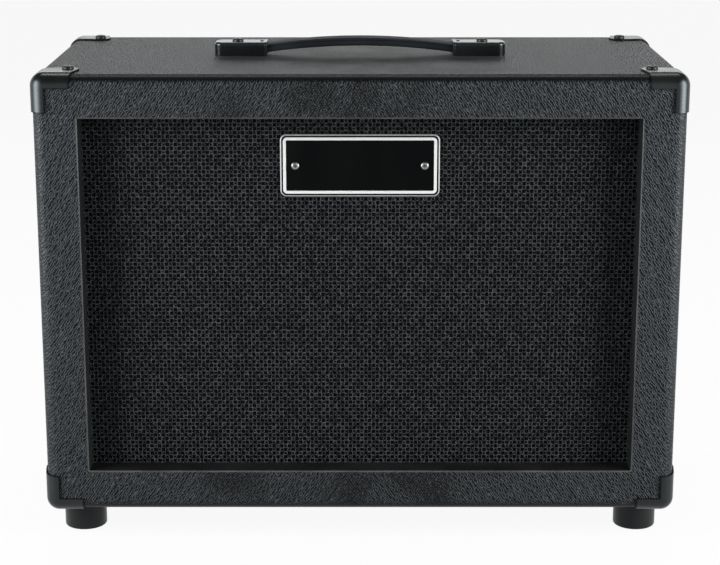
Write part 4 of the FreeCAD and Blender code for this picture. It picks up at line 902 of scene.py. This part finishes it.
def badge_heads(low, high):
    """The badge's two screws, with painted shade inside their cross recesses."""
    middle = (low + high) / 2
    screws = softened("badge_screws", "badge_screw_heads", HEAD_EDGE)
    dress(screws, STEEL_SCREW, ["badge_screws"])
    screws.data.materials.append(RECESS_PAINTED_SHADE)
    head_low, head_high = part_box("badge_screws")
    head_radius = (head_high.z - head_low.z) / 2
    reach = head_high.x - head_radius
    # Faces down in a cross recess take the painted shade
    for face in screws.data.polygons:
        off_axis = math.hypot(abs(face.center.x) - reach, face.center.z - middle.z)
        sunk = face.center.y > head_low.y + CROSS_DEEP and face.center.y < low.y
        face.material_index = 1 if sunk and off_axis < CROSS_SHARE * head_radius else 0


def badge():
    """The badge: its plate, the line on it and its screws."""
    low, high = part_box("badge_plate")
    badge_field(low, high)
    badge_line(low, high)
    badge_heads(low, high)


def flexing_pieces():
    """The driver's suspension and leads, copied from their solids and given their finishes."""
    parts = (
        ("driver_surround", "surround_roll", "treated_cloth", SURROUND_FLEX),
        ("driver_spider", "spider_disc", "treated_cloth", SPIDER_FLEX),
        ("tinsel_leads", "lead_pair", "tinned", LEAD_FLEX),
    )
    for node, name, slot, (still, moving) in parts:
        mesh = nodes[node].data.copy()
        mesh.materials.clear()
        piece = place_object(name, mesh)
        dress(piece, FINISHES[slot], [node], body=None)
        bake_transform(piece)


# Stage: floor and world
FLOOR_REACH = 14.0
FLOOR_PAINT = 0.15
FLOOR_FAINT = 0.07
FLOOR_GLOW = 0.925
HORIZON_WHITE = math.radians(14)
CEILING_DARK = math.radians(32)
SKY_LEVELS = (1.0, 0.1)
SKY_SOFT = 0.1

# Lamps on both sides: name, place to one side, depth, width, watts, and whether only gloss shows them
LAMP_HEIGHT = 0.57
LAMP_TALL = 1.13
SIDE_LAMPS = (("softbox", 1.2, -0.62, 0.6, 22, False), ("card", 1.3, -0.75, 1.3, 20, True))

# Lamps above and behind: name, place, size, watts
FAR_LAMPS = (
    ("softbox_top", (0, 0.4, 1.7), (1.2, 0.3), 10),
    ("softbox_back", (0, 1.8, 0.95), (1.8, 0.4), 3.5),
)

# Camera, at the photograph's angle
CAMERA_PLACE = (0, -1.723, 0.638)
CAMERA_DOWN = 14.23
CAMERA_LENS = 95.9
CAMERA_SENSOR = 36.0


def light_mask(tree):
    """1 for rays that see the background: from the camera, off gloss, or through glass."""
    path = shader_node(tree, "LightPath", {}).outputs
    seen = calculated(tree, "MAXIMUM", path["Is Camera Ray"], path["Is Glossy Ray"])
    return calculated(tree, "MAXIMUM", seen, path["Is Transmission Ray"])


def studio_floor():
    """A wide white floor that keeps a faint shadow."""
    reach = FLOOR_REACH
    points = [(-reach, -reach, 0), (reach, -reach, 0), (reach, reach, 0), (-reach, reach, 0)]
    mesh = bpy.data.meshes.new("floor")
    mesh.from_pydata(points, [], [(0, 1, 2, 3)])
    floor = bpy.data.objects.new("floor", mesh)
    bpy.context.scene.collection.objects.link(floor)
    material = bpy.data.materials.new("white_floor")
    material.use_nodes = True
    tree = material.node_tree
    tree.nodes.clear()
    paint = shader_node(tree, "BsdfDiffuse", {"Color": grey(FLOOR_PAINT)}).outputs[0]
    faint = shader_node(tree, "BsdfDiffuse", {"Color": grey(FLOOR_FAINT)}).outputs[0]
    glow = shader_node(tree, "Emission", {"Color": grey(1.0), "Strength": FLOOR_GLOW}).outputs[0]
    shown = shader_node(tree, "AddShader", {0: faint, 1: glow}).outputs[0]
    mixed = shader_node(tree, "MixShader", {0: light_mask(tree), 1: paint, 2: shown}).outputs[0]
    shader_node(tree, "OutputMaterial", {"Surface": mixed})
    material.cycles.emission_sampling = "NONE"
    floor.data.materials.append(material)


def studio_world():
    """White round the horizon where it is seen, dark overhead, and a soft even light on the object."""
    world = bpy.data.worlds.new("studio")
    world.use_nodes = True
    tree = world.node_tree
    tree.nodes.clear()
    direction = shader_node(tree, "TexCoord", {}).outputs["Generated"]
    height = shader_node(tree, "SeparateXYZ", {"Vector": direction}).outputs["Z"]
    sky = remap(tree, height, math.sin(HORIZON_WHITE), math.sin(CEILING_DARK), *SKY_LEVELS)
    soft = shader_node(tree, "Background", {"Color": grey(1.0), "Strength": SKY_SOFT}).outputs[0]
    white = shader_node(tree, "Background", {"Color": grey(1.0), "Strength": sky}).outputs[0]
    mixed = shader_node(tree, "MixShader", {0: light_mask(tree), 1: soft, 2: white}).outputs[0]
    shader_node(tree, "OutputWorld", {"Surface": mixed})
    world.cycles.sampling_method = "NONE"
    bpy.context.scene.world = world


def softbox(name, place, target, size, power, only_gloss=False):
    """A rectangular lamp that faces a target, seen on glossy surfaces only if asked."""
    lamp = bpy.data.lights.new(name, "AREA")
    lamp.shape = "RECTANGLE"
    lamp.size, lamp.size_y = size
    lamp.energy = power
    made = bpy.data.objects.new(name, lamp)
    made.location = place
    made.rotation_euler = (Vector(target) - Vector(place)).to_track_quat("-Z", "Y").to_euler()
    made.visible_camera = False
    made.visible_diffuse = not only_gloss
    bpy.context.scene.collection.objects.link(made)


def studio_lamps():
    """Soft lamps on both sides, with cards for the gloss, and weaker ones above and behind."""
    ahead = (0, 0, LAMP_HEIGHT)
    for side, word in SIDES:
        for name, out, depth, width, power, only_gloss in SIDE_LAMPS:
            place = (side * out, depth, LAMP_HEIGHT)
            softbox(name + "_" + word, place, ahead, (width, LAMP_TALL), power, only_gloss)
    for name, place, size, power in FAR_LAMPS:
        softbox(name, place, SHELL_MIDDLE, size, power)


def studio_camera():
    """The camera, and colours shown as they are written."""
    lens = bpy.data.cameras.new("camera")
    lens.lens = CAMERA_LENS
    lens.sensor_width = CAMERA_SENSOR
    camera = bpy.data.objects.new("camera", lens)
    camera.location = CAMERA_PLACE
    camera.rotation_euler = (math.radians(90 - CAMERA_DOWN), 0, 0)
    bpy.context.scene.collection.objects.link(camera)
    bpy.context.scene.camera = camera
    bpy.context.scene.view_settings.view_transform = "Standard"


finish_solids()
covering()
grille()
corners()
feet()
strap()
handle_caps()
badge()
flexing_pieces()
studio_floor()
studio_world()
studio_lamps()
studio_camera()
